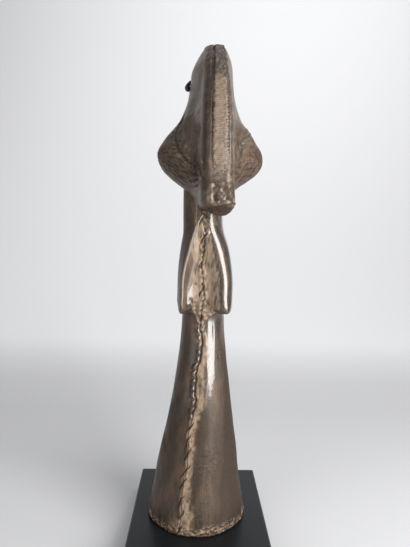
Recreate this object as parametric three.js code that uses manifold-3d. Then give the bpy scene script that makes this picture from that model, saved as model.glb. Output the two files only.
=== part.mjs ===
// Leather-cased doll with a tall crest, on a flat black plate.
// Millimetres, +Z up, the doll's front faces -Y, and +X is to the right of someone who faces it.
import * as THREE from 'three';
import { mergeVertices } from 'three/addons/utils/BufferGeometryUtils.js';
import { RoundedBoxGeometry } from 'three/addons/geometries/RoundedBoxGeometry.js';
import Module from 'manifold-3d';

const wasm = await Module();
wasm.setup();

// Driving dimensions of the doll. Heights are measured from the bottom of its foot.
const dollTurn = 1.2;          // degrees, the doll stands slightly turned on its plate
const touchGap = 0.3;          // left between pieces that touch
const neckTop = 198;
const breastTop = 192;
const breastTip = 123;
const apronPoint = 112;        // the leather over the breasts ends in a point between them
const breastShift = -0.2;      // the breasts sit this far to the right of the body
const breastSplay = 38;        // degrees, each breast's ridge points forward and outward

const headShift = 1.6;         // the head sits this far to the right of the plate's middle
const crestShift = 3.5;        // and so does its crest, which was carved off the middle
const stripShift = 3.9;
const lobeHeight = 211;        // height of the tips of the side lobes

const crestCentre = -5;        // the crest's half-disc is centred this far in front of the axis
const crestBase = 193;         // height of the half-disc's centre
const crestFront = 47.7;       // from the centre to the front edge, under the strip
const crestBack = 46;
const crestRise = 77.2;        // from the centre to the top
const crestEdge = 9.3;         // width of the flat front edge
const crestThickness = 16.4;
const crestBevel = 4.5;
const crestTaperStart = 222;   // the crest thins from here to its top
const crestTopWidth = 0.6;     // share of the thickness left at the top
const crestKeelLeft = 0.2;     // shares of the half thickness left along the underside of its front end
const crestKeelRight = 0.9;

const keelLow = 174;
const keelHigh = 186;

const stripThickness = 1.1;
const stripLowEnd = 192;       // height of the strip's lower end
const stripTopTurn = 66;       // degrees along the half-disc from the front to the strip's top end

const noseWidth = 16.4;        // the blunt wrapped end below the strip
const noseDepth = 12;
const noseHeight = 11;
const noseMiddle = 186;

const thongHeight = 252.6;
const thongRadius = 0.9;

const seamRadius = 1.1;
const seamTop = 181;
const seamDrift = 0.11;        // the seam drifts to the left by this much for each mm below the waist
const waist = 103;
const stitchPitch = 8;
const rimBead = 1.3;

const plateWidth = 79;
const plateDepth = 96;
const plateThickness = 14;
const plateBevel = 0.8;

// Half width, half depth, sideways shift and squareness of the body at a few heights
const bodyStations = [
  { height: 0, width: 28.2, depth: 28.2, shift: -1.4, power: 2 },
  { height: 26, width: 24.5, depth: 24.8, shift: -1.4, power: 2 },
  { height: 44, width: 21.6, depth: 22.0, shift: -0.6, power: 2 },
  { height: 64, width: 18.2, depth: 18.6, shift: -0.2, power: 2 },
  { height: 84, width: 15.4, depth: 15.9, shift: 0.2, power: 2 },
  { height: 102, width: 13.3, depth: 14.0, shift: 0.4, power: 2 },
  { height: 119, width: 12.2, depth: 13.2, shift: 0.2, power: 2.1 },
  { height: 127, width: 12.8, depth: 15.6, shift: 0.3, power: 2.8 },
  { height: 142, width: 12.8, depth: 15.6, shift: 0.3, power: 2.8 },
  { height: 158, width: 12.0, depth: 14.1, shift: 0, power: 2.5 },
  { height: 174, width: 11.0, depth: 12.0, shift: -1.2, power: 2 },
  { height: neckTop, width: 10.8, depth: 11.0, shift: -1.8, power: 2 },
];

// A breast's distance from the middle, half width, half depth and centre in front of the axis
const breastStations = [
  { height: breastTip, offset: 12.0, width: 1.0, depth: 1.4, forward: 16.4 },
  { height: 124.5, offset: 10.6, width: 2.6, depth: 4.6, forward: 14.8 },
  { height: 127.5, offset: 8.8, width: 4.5, depth: 8.2, forward: 12.0 },
  { height: 132, offset: 7.8, width: 5.8, depth: 10.2, forward: 9.8 },
  { height: 142, offset: 7.4, width: 6.2, depth: 10.4, forward: 8.8 },
  { height: 158, offset: 5.6, width: 6.2, depth: 9.6, forward: 7.0 },
  { height: 174, offset: 3.6, width: 6.0, depth: 8.4, forward: 5.2 },
  { height: breastTop, offset: 2.4, width: 5.4, depth: 6.6, forward: 3.6 },
];

// Half width, half depth and centre in front of the axis of the rounded underside of the head
const cheekStations = [
  { height: 180.5, width: 4, depth: 4, forward: 11 },
  { height: 185, width: 9.5, depth: 9.5, forward: 9 },
  { height: 190, width: 13, depth: 13, forward: 7 },
  { height: 195, width: 17.0, depth: 16, forward: 5.5 },
  { height: 200, width: 24.0, depth: 19, forward: 4.5 },
  { height: 204.5, width: 28.2, depth: 21, forward: 4 },
  { height: lobeHeight, width: 30.4, depth: 22, forward: 4 },
  { height: 216, width: 28.6, depth: 20, forward: 4 },
  { height: 221, width: 22, depth: 14, forward: 4 },
  { height: 225, width: 8, depth: 5, forward: 4 },
];

const roofLow = 187;
const roofHigh = 268.5;

// Half width of the hollowed roof between the crest and the lobes
const roofStations = [
  { height: roofLow, width: 12 },
  { height: 196, width: 16 },
  { height: 204, width: 25 },
  { height: lobeHeight, width: 29.8 },
  { height: 216, width: 28.6 },
  { height: 220.3, width: 25.6 },
  { height: 224.8, width: 21.6 },
  { height: 229.3, width: 18.0 },
  { height: 233.8, width: 15.6 },
  { height: 240, width: 13.5 },
  { height: 249, width: 12.2 },
  { height: 258, width: 10.8 },
  { height: 264, width: 7.6 },
  { height: roofHigh, width: 4.6 },
];
const roofHollow = 0.8;        // below 1 the roof's sections are hollow between their four points
const roofRounding = 4.5;      // rounds those points

// Smooth curve through the stations: returns their other values at any height between them
function stationCurve(stations) {
  const names = Object.keys(stations[0]).filter((name) => name !== 'height');
  const heights = stations.map((station) => station.height);
  const values = stations.flatMap((station) => names.map((name) => station[name]));
  const curve = new THREE.CubicInterpolant(heights, values, names.length, []);
  return (height) => {
    const result = curve.evaluate(height);
    return Object.fromEntries(names.map((name, index) => [name, result[index]]));
  };
}

const bodyAt = stationCurve(bodyStations);
const breastAt = stationCurve(breastStations);
const cheekAt = stationCurve(cheekStations);
const roofAt = stationCurve(roofStations);

// Point of a rounded section: power 2 is an ellipse, and a power below 1 has four hollow sides
function sectionPoint(angle, width, depth, power) {
  const across = Math.cos(angle);
  const along = Math.sin(angle);
  const x = Math.sign(across) * width * Math.abs(across) ** (2 / power);
  const y = Math.sign(along) * depth * Math.abs(along) ** (2 / power);
  return [x, y];
}

// Closed solid of level sections between two heights; section(angle, height) gives a point of the
// outline, and centre(height) the point that the end caps close on
function loft(low, high, rings, around, section, centre) {
  const geometry = new THREE.CylinderGeometry(1, 1, 1, around, rings).rotateX(Math.PI / 2);
  const points = geometry.attributes.position;
  for (let i = 0; i < points.count; i++) {
    const reach = Math.hypot(points.getX(i), points.getY(i));
    const angle = Math.atan2(points.getY(i), points.getX(i));
    const height = THREE.MathUtils.lerp(low, high, points.getZ(i) + 0.5);
    const [centreX, centreY] = centre(height);
    const [x, y] = section(angle, height);
    points.setXYZ(i, centreX + reach * x, centreY + reach * y, height);
  }
  return geometry;
}

// Closed solid of a geometry, ready to be joined
function solid(geometry) {
  const bare = geometry.clone();
  bare.deleteAttribute('normal');
  bare.deleteAttribute('uv');
  const merged = mergeVertices(bare, 1e-4);
  return new wasm.Manifold(new wasm.Mesh({
    numProp: 3,
    vertProperties: new Float32Array(merged.attributes.position.array),
    triVerts: new Uint32Array(merged.index.array),
  }));
}

// Geometry of a joined solid, shaded flat
function geometryOf(joined) {
  const mesh = joined.getMesh();
  const geometry = new THREE.BufferGeometry();
  geometry.setAttribute('position', new THREE.BufferAttribute(mesh.vertProperties, mesh.numProp));
  geometry.setIndex(new THREE.BufferAttribute(mesh.triVerts, 1));
  geometry.computeVertexNormals();
  return geometry;
}

// Moves every point of a geometry by a function of the point
function reshape(geometry, move) {
  const points = geometry.attributes.position;
  const point = new THREE.Vector3();
  for (let i = 0; i < points.count; i++) {
    point.fromBufferAttribute(points, i);
    move(point);
    points.setXYZ(i, point.x, point.y, point.z);
  }
  return geometry;
}

// The crest is thinner towards its top, and along the underside of its front end
function taperCrest(point) {
  const rise = THREE.MathUtils.smoothstep(point.z, crestTaperStart, crestBase + crestRise);
  const keel = 1 - THREE.MathUtils.smoothstep(point.z, keelLow, keelHigh);
  const keelWidth = point.x < 0 ? crestKeelLeft : crestKeelRight;
  point.x *= THREE.MathUtils.lerp(1, crestTopWidth, rise) * THREE.MathUtils.lerp(1, keelWidth, keel);
}

function makeBody() {
  const section = (angle, height) => {
    const { width, depth, power } = bodyAt(height);
    return sectionPoint(angle, width, depth, power);
  };
  return loft(0, neckTop, 26, 36, section, (height) => [bodyAt(height).shift, 0]);
}

function makeBreast(side) {
  const splay = side * THREE.MathUtils.degToRad(breastSplay);
  const section = (angle, height) => {
    const { width, depth } = breastAt(height);
    const [x, y] = sectionPoint(angle, width, depth, 2);
    return [x * Math.cos(splay) - y * Math.sin(splay), x * Math.sin(splay) + y * Math.cos(splay)];
  };
  const centre = (height) => {
    const { offset, forward } = breastAt(height);
    return [bodyAt(height).shift + breastShift + side * offset, -forward];
  };
  return loft(breastTip, breastTop, 15, 14, section, centre);
}

function makeCheeks() {
  const section = (angle, height) => {
    const { width, depth } = cheekAt(height);
    return sectionPoint(angle, width, depth, 1.8);
  };
  const centre = (height) => [headShift, -cheekAt(height).forward];
  return loft(180.5, 225, 11, 28, section, centre);
}

// How far the half-disc of the crest reaches in front of or behind its centre at a height
function crestReach(height, length) {
  const rise = THREE.MathUtils.clamp((height - crestBase) / crestRise, 0, 1);
  return length * Math.sqrt(1 - rise * rise);
}

function makeRoof() {
  const section = (angle, height) => {
    const length = Math.sin(angle) < 0 ? crestFront : crestBack;
    const depth = crestReach(height, length) - 2 - roofRounding;
    const [x, y] = sectionPoint(angle, roofAt(height).width - roofRounding, depth, roofHollow);
    return [x + roofRounding * Math.cos(angle), y + roofRounding * Math.sin(angle)];
  };
  return loft(roofLow, roofHigh, 16, 36, section, () => [headShift, crestCentre]);
}

// Side view of the crest: a half-disc with a blunt end at the front, drawn as (depth, height)
function crestOutline() {
  const outline = new THREE.Shape();
  const front = crestCentre - crestFront;
  outline.moveTo(front, 181.5);
  outline.lineTo(front, crestBase);
  outline.absellipse(crestCentre, crestBase, crestFront, crestRise, Math.PI, Math.PI / 2, true);
  outline.absellipse(crestCentre, crestBase, crestBack, crestRise, Math.PI / 2, 0.14, true);
  outline.lineTo(36, 199);
  outline.lineTo(10, 194);
  outline.lineTo(-12, 184);
  outline.lineTo(front + 6, 175.8);
  outline.closePath();
  return outline;
}

// Sets a side view that was extruded along +Z so that it stands along the doll's middle plane
function standUpright(geometry) {
  return geometry.applyMatrix4(new THREE.Matrix4().makeBasis(
    new THREE.Vector3(0, 1, 0),
    new THREE.Vector3(0, 0, 1),
    new THREE.Vector3(1, 0, 0),
  ));
}

function makeCrest() {
  const bevelWidth = (crestThickness - crestEdge) / 2;
  const slab = new THREE.ExtrudeGeometry(crestOutline(), {
    depth: crestEdge,
    curveSegments: 12,
    bevelThickness: bevelWidth,
    bevelSize: crestBevel,
    bevelOffset: -crestBevel,
    bevelSegments: 2,
  });
  slab.translate(0, 0, -crestEdge / 2);
  return reshape(standUpright(slab), taperCrest).translate(crestShift, 0, 0);
}

// Blunt leather-wrapped end at the bottom of the crest's front edge
function makeNose() {
  const nose = new RoundedBoxGeometry(noseWidth, noseDepth, noseHeight, 2, 2.6);
  const middle = crestCentre - crestFront - stripThickness + noseDepth / 2;
  return nose.translate(crestShift - 0.4, middle, noseMiddle);
}

// The seam's place on the front of the body at a height
function seamPoint(height) {
  const { width, depth, shift, power } = bodyAt(height);
  const x = -1.2 - seamDrift * Math.max(0, waist - height) + 0.7 * Math.sin(height / 5);
  const y = -depth * (1 - Math.abs((x - shift) / width) ** power) ** (1 / power);
  return new THREE.Vector3(x, y, height);
}

// The raised lip of the sewn seam down the front
function makeSeam() {
  const points = [];
  for (let height = 1.5; height <= seamTop; height += 8) {
    points.push(seamPoint(height));
  }
  const lip = new THREE.Shape().absellipse(0, 0, seamRadius, seamRadius, 0, 2 * Math.PI);
  return new THREE.ExtrudeGeometry(lip, {
    steps: 40,
    curveSegments: 5,
    extrudePath: new THREE.CatmullRomCurve3(points),
  });
}

// One slanted stitch that crosses the seam
function makeStitch(height) {
  const stitch = new THREE.SphereGeometry(1, 5, 4);
  stitch.scale(1.0, 1.1, 3.4).rotateY(THREE.MathUtils.degToRad(35));
  const place = seamPoint(height);
  return stitch.translate(place.x, place.y - 0.6, place.z);
}

function makeStitches() {
  const stitches = [];
  for (let height = 8; height < seamTop - stitchPitch; height += stitchPitch) {
    stitches.push(makeStitch(height));
  }
  return stitches;
}

// The pointed lower edge of the breast leather, laid over the leather of the skirt
function makeApron() {
  const section = (angle, height) => {
    const spread = (height - apronPoint) / (breastTip + 2 - apronPoint);
    return sectionPoint(angle, 1 + 8 * spread, 1.6, 2);
  };
  const centre = (height) => [bodyAt(height).shift + breastShift, 0.9 - bodyAt(height).depth];
  return loft(apronPoint, breastTip + 2, 3, 12, section, centre);
}

// The rolled, stitched edge of the casing around the foot
function makeRim() {
  const { width, shift } = bodyAt(0);
  const rim = new THREE.TorusGeometry(width - rimBead * 0.6, rimBead, 5, 36);
  return rim.translate(shift, 0, rimBead);
}

function makeDoll() {
  const pieces = [
    makeBody(), makeBreast(-1), makeBreast(1), makeCheeks(), makeRoof(), makeCrest(), makeNose(),
    makeApron(), makeSeam(), makeRim(), ...makeStitches(),
  ];
  return geometryOf(pieces.map(solid).reduce((whole, piece) => whole.add(piece)));
}

// The strip over the front edge of the crest, a band between two half-discs
function makeStrip() {
  const start = Math.PI;
  const end = Math.PI - THREE.MathUtils.degToRad(stripTopTurn);
  const inner = touchGap;
  const outer = touchGap + stripThickness;
  const front = crestCentre - crestFront;
  const band = new THREE.Shape();
  band.moveTo(front - inner, stripLowEnd);
  band.lineTo(front - outer, stripLowEnd);
  band.absellipse(crestCentre, crestBase, crestFront + outer, crestRise + outer, start, end, true);
  band.absellipse(crestCentre, crestBase, crestFront + inner, crestRise + inner, end, start, false);
  band.closePath();
  const strip = new THREE.ExtrudeGeometry(band, {
    depth: crestEdge,
    curveSegments: 12,
    bevelEnabled: false,
  });
  strip.translate(0, 0, -crestEdge / 2);
  return reshape(standUpright(strip), taperCrest).translate(stripShift, 0, 0);
}

// A thong that comes out of the crest's left side, and its knot, which hangs down
function makeThong() {
  const side = headShift - roofAt(thongHeight).width - touchGap;
  const route = new THREE.CatmullRomCurve3([
    new THREE.Vector3(side, crestCentre, thongHeight),
    new THREE.Vector3(side - 1.2, crestCentre, thongHeight - 0.5),
    new THREE.Vector3(side - 1.8, crestCentre, thongHeight - 2.2),
    new THREE.Vector3(side - 1.6, crestCentre, thongHeight - 4.2),
  ]);
  const section = new THREE.Shape().absellipse(0, 0, thongRadius, thongRadius, 0, 2 * Math.PI);
  const cord = new THREE.ExtrudeGeometry(section, { steps: 6, curveSegments: 6, extrudePath: route });
  const knot = new THREE.SphereGeometry(1.3, 8, 6).scale(1, 1, 1.3);
  knot.translate(side - 1.8, crestCentre, thongHeight - 3.6);
  return geometryOf(solid(cord).add(solid(knot)));
}

function makePlate() {
  const flat = new THREE.Shape();
  flat.moveTo(-plateWidth / 2, -plateDepth / 2);
  flat.lineTo(plateWidth / 2, -plateDepth / 2);
  flat.lineTo(plateWidth / 2, plateDepth / 2);
  flat.lineTo(-plateWidth / 2, plateDepth / 2);
  flat.closePath();
  const plate = new THREE.ExtrudeGeometry(flat, {
    depth: plateThickness - 2 * plateBevel,
    bevelThickness: plateBevel,
    bevelSize: plateBevel,
    bevelOffset: -plateBevel,
    bevelSegments: 1,
  });
  return plate.translate(0, 0, plateBevel - plateThickness - touchGap);
}

function addPiece(group, name, geometry, color, roughness) {
  const material = new THREE.MeshStandardMaterial({ color, roughness, metalness: 0 });
  const mesh = new THREE.Mesh(geometry, material);
  mesh.name = name;
  group.add(mesh);
}

const figure = new THREE.Group();
figure.rotation.z = THREE.MathUtils.degToRad(dollTurn);
addPiece(figure, 'doll', makeDoll(), 0x5a463a, 0.35);
addPiece(figure, 'crest_strip', makeStrip(), 0xa08868, 0.7);
addPiece(figure, 'crest_thong', makeThong(), 0x14110f, 0.5);

const part = new THREE.Group();
part.add(figure);
addPiece(part, 'stand_plate', makePlate(), 0x1c1f20, 0.2);

// The origin is the middle of the underside of the whole
part.updateMatrixWorld(true);
const box = new THREE.Box3().setFromObject(part, true);
part.position.set(-(box.min.x + box.max.x) / 2, -(box.min.y + box.max.y) / 2, -box.min.z);

export default part;
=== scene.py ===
"""Leather-cased doll with a tall crest, on a flat black plate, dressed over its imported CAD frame.

The doll's own shapes are worked out in millimetres in the doll's frame: +Z up, its front faces -Y,
+X is to the right of someone who faces it, and its foot stands at height 0 over the middle of the
plate. to_row() turns them into the metres of the row frame. Colours are linear red, green and blue.
"""
import math

import bpy
import numpy as np
from bpy.props import FloatProperty, FloatVectorProperty, IntProperty, PointerProperty
from mathutils import Matrix, Vector


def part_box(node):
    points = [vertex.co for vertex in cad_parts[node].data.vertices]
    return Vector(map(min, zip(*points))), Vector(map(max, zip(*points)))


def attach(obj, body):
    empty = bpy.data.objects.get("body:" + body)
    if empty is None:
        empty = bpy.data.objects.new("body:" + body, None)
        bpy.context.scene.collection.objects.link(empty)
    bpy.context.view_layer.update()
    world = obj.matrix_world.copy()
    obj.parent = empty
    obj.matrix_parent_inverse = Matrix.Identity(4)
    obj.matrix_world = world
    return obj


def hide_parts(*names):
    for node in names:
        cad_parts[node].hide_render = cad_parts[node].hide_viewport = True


bl_info = {
    "name": "Leather-Cased Doll",
    "version": (1, 0, 0),
    "blender": (4, 5, 0),
    "location": "3D View > Sidebar > Doll",
    "description": "Builds a leather-cased crested doll, its sewn strip, seams and thong, and a studio",
    "category": "Add Mesh",
}

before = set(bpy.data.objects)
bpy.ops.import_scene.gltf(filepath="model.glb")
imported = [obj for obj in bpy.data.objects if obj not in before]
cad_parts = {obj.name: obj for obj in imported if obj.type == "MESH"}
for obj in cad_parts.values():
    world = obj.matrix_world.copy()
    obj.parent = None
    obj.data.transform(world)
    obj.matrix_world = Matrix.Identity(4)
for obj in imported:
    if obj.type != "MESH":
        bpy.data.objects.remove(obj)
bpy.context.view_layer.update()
PLATE_LOW, PLATE_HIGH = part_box("stand_plate")

MM = 0.001
DOLL_TURN = math.radians(1.2)     # the doll stands slightly turned on its plate
TOUCH_GAP = 0.3                   # left between the foot and the plate

# Height, half width, half depth, sideways shift and squareness of the body
BODY_STATIONS = [
    (0, 28.2, 28.2, -1.4, 2),
    (26, 24.8, 24.9, -1.3, 2),
    (44, 22.1, 22.3, -0.5, 2),
    (64, 18.6, 18.8, -0.1, 2),
    (84, 15.7, 16.0, 0.1, 2),
    (102, 13.4, 14.0, 0.2, 2),
    (119, 12.3, 13.2, 0.1, 2.1),
    (127, 12.8, 14.9, 0.3, 2.6),
    (142, 12.8, 14.6, 0.3, 2.6),
    (158, 12.0, 13.5, 0.0, 2.4),
    (174, 11.0, 12.0, -1.2, 2),
    (198, 10.8, 11.0, -1.8, 2),
]

# Height, distance from the middle, half width, half depth and centre in front of the axis
BREAST_STATIONS = [
    (122.6, 12.3, 1.0, 1.4, 15.8),
    (124, 11.2, 3.0, 4.4, 14.2),
    (127, 9.6, 5.4, 7.6, 11.8),
    (132, 8.6, 6.7, 9.4, 10.0),
    (142, 8.2, 7.0, 9.8, 9.0),
    (152, 6.6, 7.0, 9.7, 8.0),
    (162, 4.4, 6.9, 9.4, 6.8),
    (173, 1.6, 6.4, 8.8, 5.4),
    (192, 0.8, 5.6, 7.0, 3.6),
]
BREAST_SHIFT = -0.3

# Of each breast: the turn of its ridge to the right, its shares of the width at its tip and at its
# root, how much farther it lies from the middle, and the power of its section, which is below 2
# where the ridge is sharp
LEFT_BREAST = (math.radians(-15), 0.70, 1.0, 1.8, 1.2)
RIGHT_BREAST = (math.radians(20), 1.0, 1.25, -0.3, 1.9)

# Direction around the body from its seam in degrees, and height of the bodice's lower edge there
BODICE_EDGE = [
    (-180, 124.6),
    (-70, 124.2),
    (-44, 122.9),
    (-30, 122.8),
    (-16, 122.4),
    (-9, 119.6),
    (-3, 113.6),
    (1, 111.6),
    (5, 114.0),
    (12, 117.6),
    (22, 120.6),
    (34, 122.6),
    (46, 123.2),
    (75, 124.2),
    (180, 124.6),
]
BODICE_TOP = 198
SKIRT_TOP = 127

# Height, half width, half depth, centre in front of the axis and sideways shift of the head's
# rounded underside
CHEEK_STATIONS = [
    (180.5, 1.5, 3, 12, 1.6),
    (183, 3.0, 6, 12, 1.6),
    (185, 5.4, 9, 11, 1.6),
    (187, 8.0, 11, 10, 1.6),
    (190, 11.6, 13.5, 8.5, 1.6),
    (193, 15.3, 15.5, 7, 1.7),
    (197.4, 21.2, 18, 6, 1.8),
    (201.7, 26.2, 20, 5, 2.2),
    (206, 29.0, 21.3, 4.5, 2.4),
    (211, 29.6, 21.5, 4, 2.0),
    (216, 27.4, 19.5, 4, 1.6),
    (221, 20, 13, 4, 1.6),
    (225, 8, 5, 4, 1.6),
]

# Height, half width of the head across its lobes, and how sharply the lobes stand out of the crest
ROOF_STATIONS = [
    (187, 9.0, 4.0),
    (196, 15.0, 6.0),
    (204, 24.5, 8.0),
    (211, 28.6, 8.0),
    (216, 27.6, 8.0),
    (220.3, 25.4, 7.0),
    (224.8, 21.6, 5.5),
    (229.3, 18.0, 4.0),
    (233.8, 15.6, 3.0),
    (240, 13.3, 2.2),
    (249, 12.0, 1.5),
    (255, 11.4, 1.2),
    (259, 9.8, 1.1),
    (264, 7.2, 1.0),
    (268.5, 4.8, 1.0),
]

# The crest's underside from front to back: depth and height
UNDERSIDE = [(-52.7, 181.5), (-46.7, 175.8), (-12, 184), (10, 194), (36, 199), (42, 199.5)]

# Height, and the shares of the crest's half thickness left of and right of its middle plane along
# the underside of its front end
KEEL_STATIONS = [
    (174.5, 0.16, 0.56),
    (175.6, 0.24, 0.74),
    (178.5, 0.58, 1.04),
    (181, 0.92, 1.06),
    (184, 1.0, 1.04),
    (192, 1.0, 0.98),
]

HEAD_SHIFT = 1.6
CREST_SHIFT = 3.5
CREST_CENTRE = -5.0
CREST_BASE = 193.0
CREST_FRONT = 47.7
CREST_BACK = 46.0
CREST_RISE = 77.2
CREST_EDGE = 9.3                  # width of the flat front edge
CREST_THICKNESS = 16.4
CREST_BEVEL = 4.5
CREST_TAPER_START = 222.0         # the crest thins from here to its top
CREST_TOP_WIDTH = 0.6
HEAD_MIDDLE = np.array([2.6, -7.0, 206.0])   # every point of the head's surface is seen from here

STRIP_SHIFT = 3.9
STRIP_LOW_END = 192.0
STRIP_TOP_TURN = math.radians(66)

THONG_HEIGHT = 251.4

HOLE_PITCH = 3.0                  # of the seam between the breasts
BEAD_PITCH = 4.1                  # of the seam's lip below the breasts

# Height and length to the left of the slashes in the seam between the breasts
CHEST_SLASHES = [(176.5, 2.6), (166.0, 2.2), (137.2, 3.0), (119.5, 0.6)]

# The sewn seam of the left lobe as seen from the front: distance to the right and height
LEFT_LOBE_SEAM = [
    (-12.4, 236), (-14.2, 228), (-16.8, 222.7), (-17.3, 217.3), (-14.4, 210.4), (-9.9, 205.1),
    (-5.3, 200.3), (-3.6, 194),
]

# The upper edge of the right lobe's rounded underside
RIGHT_LOBE_EDGE = [(29, 218), (26, 213.5), (22.5, 210), (18, 206.5), (14.5, 203), (12.6, 198)]

# The photograph's camera in the row frame
CAMERA_PLACE = (-4.98, -267.35, 179.5)
CAMERA_YAW = math.radians(-1.2)
CAMERA_PITCH = math.radians(4.45)
CAMERA_ROLL = math.radians(1.38)
CAMERA_FOCUS = 460                # pixels, on the photograph's longer side
PHOTO_HEIGHT = 547
SENSOR = 36.0


class DollSizes(bpy.types.PropertyGroup):
    """Sizes of the leather's details that a user may change."""

    stitch_pitch: FloatProperty(
        name="Stitch pitch", description="Height from one slanted cut of the front seam to the next",
        default=8.0 * MM, min=3 * MM, max=20 * MM, unit="LENGTH",
    )
    lip_height: FloatProperty(
        name="Seam lip", description="How far the rolled edge beside the front seam stands out",
        default=0.75 * MM, min=0, max=2 * MM, unit="LENGTH",
    )
    gap_depth: FloatProperty(
        name="Seam gap", description="Depth of the gap between the sewn edges",
        default=0.9 * MM, min=0, max=2 * MM, unit="LENGTH",
    )
    unevenness: FloatProperty(
        name="Unevenness", description="How far the hand-drawn leather swells and sinks",
        default=0.22 * MM, min=0, max=1 * MM, unit="LENGTH",
    )
    wrinkles: FloatProperty(
        name="Wrinkles", description="Depth of the wrinkles where the leather was gathered",
        default=0.45 * MM, min=0, max=2 * MM, unit="LENGTH",
    )
    overlap: FloatProperty(
        name="Overlap", description="Thickness of the bodice leather where it lies over the skirt",
        default=0.5 * MM, min=0.1 * MM, max=2 * MM, unit="LENGTH",
    )
    strip_thickness: FloatProperty(
        name="Strip thickness", description="Thickness of the strip over the crest's front edge",
        default=1.1 * MM, min=0.3 * MM, max=1.4 * MM, unit="LENGTH",
    )
    lobe_stitches: IntProperty(
        name="Lobe stitches", description="Stitches along the seam of the left side lobe",
        default=18, min=0, max=60,
    )


class DollColours(bpy.types.PropertyGroup):
    """Colours of the finishes."""

    leather: FloatVectorProperty(
        name="Leather", description="Polished brown leather of the casing", subtype="COLOR",
        size=3, min=0, max=1, default=(0.042, 0.030, 0.0205),
    )
    head_leather: FloatVectorProperty(
        name="Head leather", description="Drier, paler leather of the head", subtype="COLOR",
        size=3, min=0, max=1, default=(0.106, 0.080, 0.059),
    )
    # Also the colour of the strip's dark marks, painted shade in its wrinkle troughs among them
    leather_dark: FloatVectorProperty(
        name="Dark leather", description="Darker streaks of the casing", subtype="COLOR",
        size=3, min=0, max=1, default=(0.015, 0.011, 0.008),
    )
    ruddy: FloatVectorProperty(
        name="Ruddy leather", description="Reddish brown patches of the casing", subtype="COLOR",
        size=3, min=0, max=1, default=(0.076, 0.041, 0.024),
    )
    # Tan of worn leather, also used as painted light on lit edges of the head and on a stripe of the skirt
    worn_and_lit: FloatVectorProperty(
        name="Worn leather", description="Leather rubbed down to tan at edges and seams", subtype="COLOR",
        size=3, min=0, max=1, default=(0.235, 0.168, 0.114),
    )
    # Colour of grime, also used as painted shade in creases, recesses, under edges and at the foot
    grime_and_shade: FloatVectorProperty(
        name="Grime", description="Dark dirt in the gaps and holes", subtype="COLOR",
        size=3, min=0, max=1, default=(0.020, 0.011, 0.007),
    )
    strip: FloatVectorProperty(
        name="Strip", description="Tan leather of the strip on the crest", subtype="COLOR",
        size=3, min=0, max=1, default=(0.125, 0.086, 0.056),
    )
    thong: FloatVectorProperty(
        name="Thong", description="Black leather of the thong and the sewing", subtype="COLOR",
        size=3, min=0, max=1, default=(0.012, 0.010, 0.009),
    )
    plate: FloatVectorProperty(
        name="Plate", description="Black lacquer of the plate", subtype="COLOR",
        size=3, min=0, max=1, default=(0.006, 0.007, 0.008),
    )
    floor: FloatVectorProperty(
        name="Floor", description="Pale floor and backdrop", subtype="COLOR",
        size=3, min=0, max=1, default=(0.64, 0.64, 0.65),
    )


def to_row(points):
    """Millimetres of the doll's frame to metres of the row frame: a turn about the upright axis, then
    a shift to the middle of the plate's top."""
    x, y, z = points[..., 0], points[..., 1], points[..., 2]
    turned = np.stack([
        x * math.cos(DOLL_TURN) - y * math.sin(DOLL_TURN),
        x * math.sin(DOLL_TURN) + y * math.cos(DOLL_TURN),
        z + TOUCH_GAP,
    ], axis=-1)
    middle = np.array([
        (PLATE_LOW.x + PLATE_HIGH.x) / 2,
        (PLATE_LOW.y + PLATE_HIGH.y) / 2,
        PLATE_HIGH.z,
    ])
    return turned * MM + middle


def station_curve(stations):
    """Smooth curve through stations, as a function that gives their values at any heights. Between two
    stations it is the cubic with their values and slopes, and the slope at a station is the rise
    between its neighbours over the height between them. It is worked out once at fine steps."""
    table = np.array(stations, float)
    heights, values = table[:, 0], table[:, 1:]
    slopes = np.zeros_like(values)
    slopes[1:-1] = (values[2:] - values[:-2]) / (heights[2:] - heights[:-2])[:, None]
    steps = np.linspace(heights[0], heights[-1], 4001)
    low = np.clip(np.searchsorted(heights, steps, side="right") - 1, 0, len(heights) - 2)
    span = (heights[low + 1] - heights[low])[:, None]
    t = (steps - heights[low])[:, None] / span
    smooth = t * t * (3 - 2 * t)
    bent = t * (1 - t) ** 2 * slopes[low] - t * t * (1 - t) * slopes[low + 1]
    curves = (values[low] * (1 - smooth) + values[low + 1] * smooth + span * bent).T
    return lambda height: tuple(np.interp(height, steps, curve) for curve in curves)


body_at = station_curve(BODY_STATIONS)
breast_at = station_curve(BREAST_STATIONS)
cheek_at = station_curve(CHEEK_STATIONS)
roof_at = station_curve(ROOF_STATIONS)
keel_at = station_curve(KEEL_STATIONS)
bodice_edge_at = station_curve(BODICE_EDGE)


def smooth_step(value, low, high):
    """0 below low, 1 above high, and an even S between them."""
    t = np.clip((value - low) / (high - low), 0, 1)
    return t * t * (3 - 2 * t)


def bell(value, width):
    """1 at zero, falling to about a third at one width to either side."""
    return np.exp(-(value / width) ** 2)


def join(first, second, reach):
    """Union of two fields with a fillet: the smaller of both, less where they are closer than reach."""
    overlap = np.clip(reach - np.abs(first - second), 0, None)
    return np.minimum(first, second) - overlap ** 2 / (4 * reach)


def meet(first, second, reach):
    """Intersection of two fields with a rounded edge."""
    return -join(-first, -second, reach)


def ripples(points, wavelength, seed, stretch=(1, 1, 1), waves=14):
    """Uneven swelling between about -1 and 1: a sum of sine waves that run in fixed random directions.
    A stretch above 1 makes the swelling longer along that axis."""
    rng = np.random.default_rng(seed)
    total = 0
    for _ in range(waves):
        direction = rng.normal(size=3)
        direction *= rng.uniform(0.6, 1.5) / (np.linalg.norm(direction) * wavelength)
        run = points @ (2 * math.pi * direction / np.array(stretch))
        total = total + np.sin(run + rng.uniform(0, 2 * math.pi))
    return total / math.sqrt(waves * 2)


def chance(number, seed):
    """A fixed random share between 0 and 1 for each whole number."""
    wave = np.sin(number * 12.9898 + seed * 78.233) * 43758.5453
    return wave - np.floor(wave)


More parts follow.
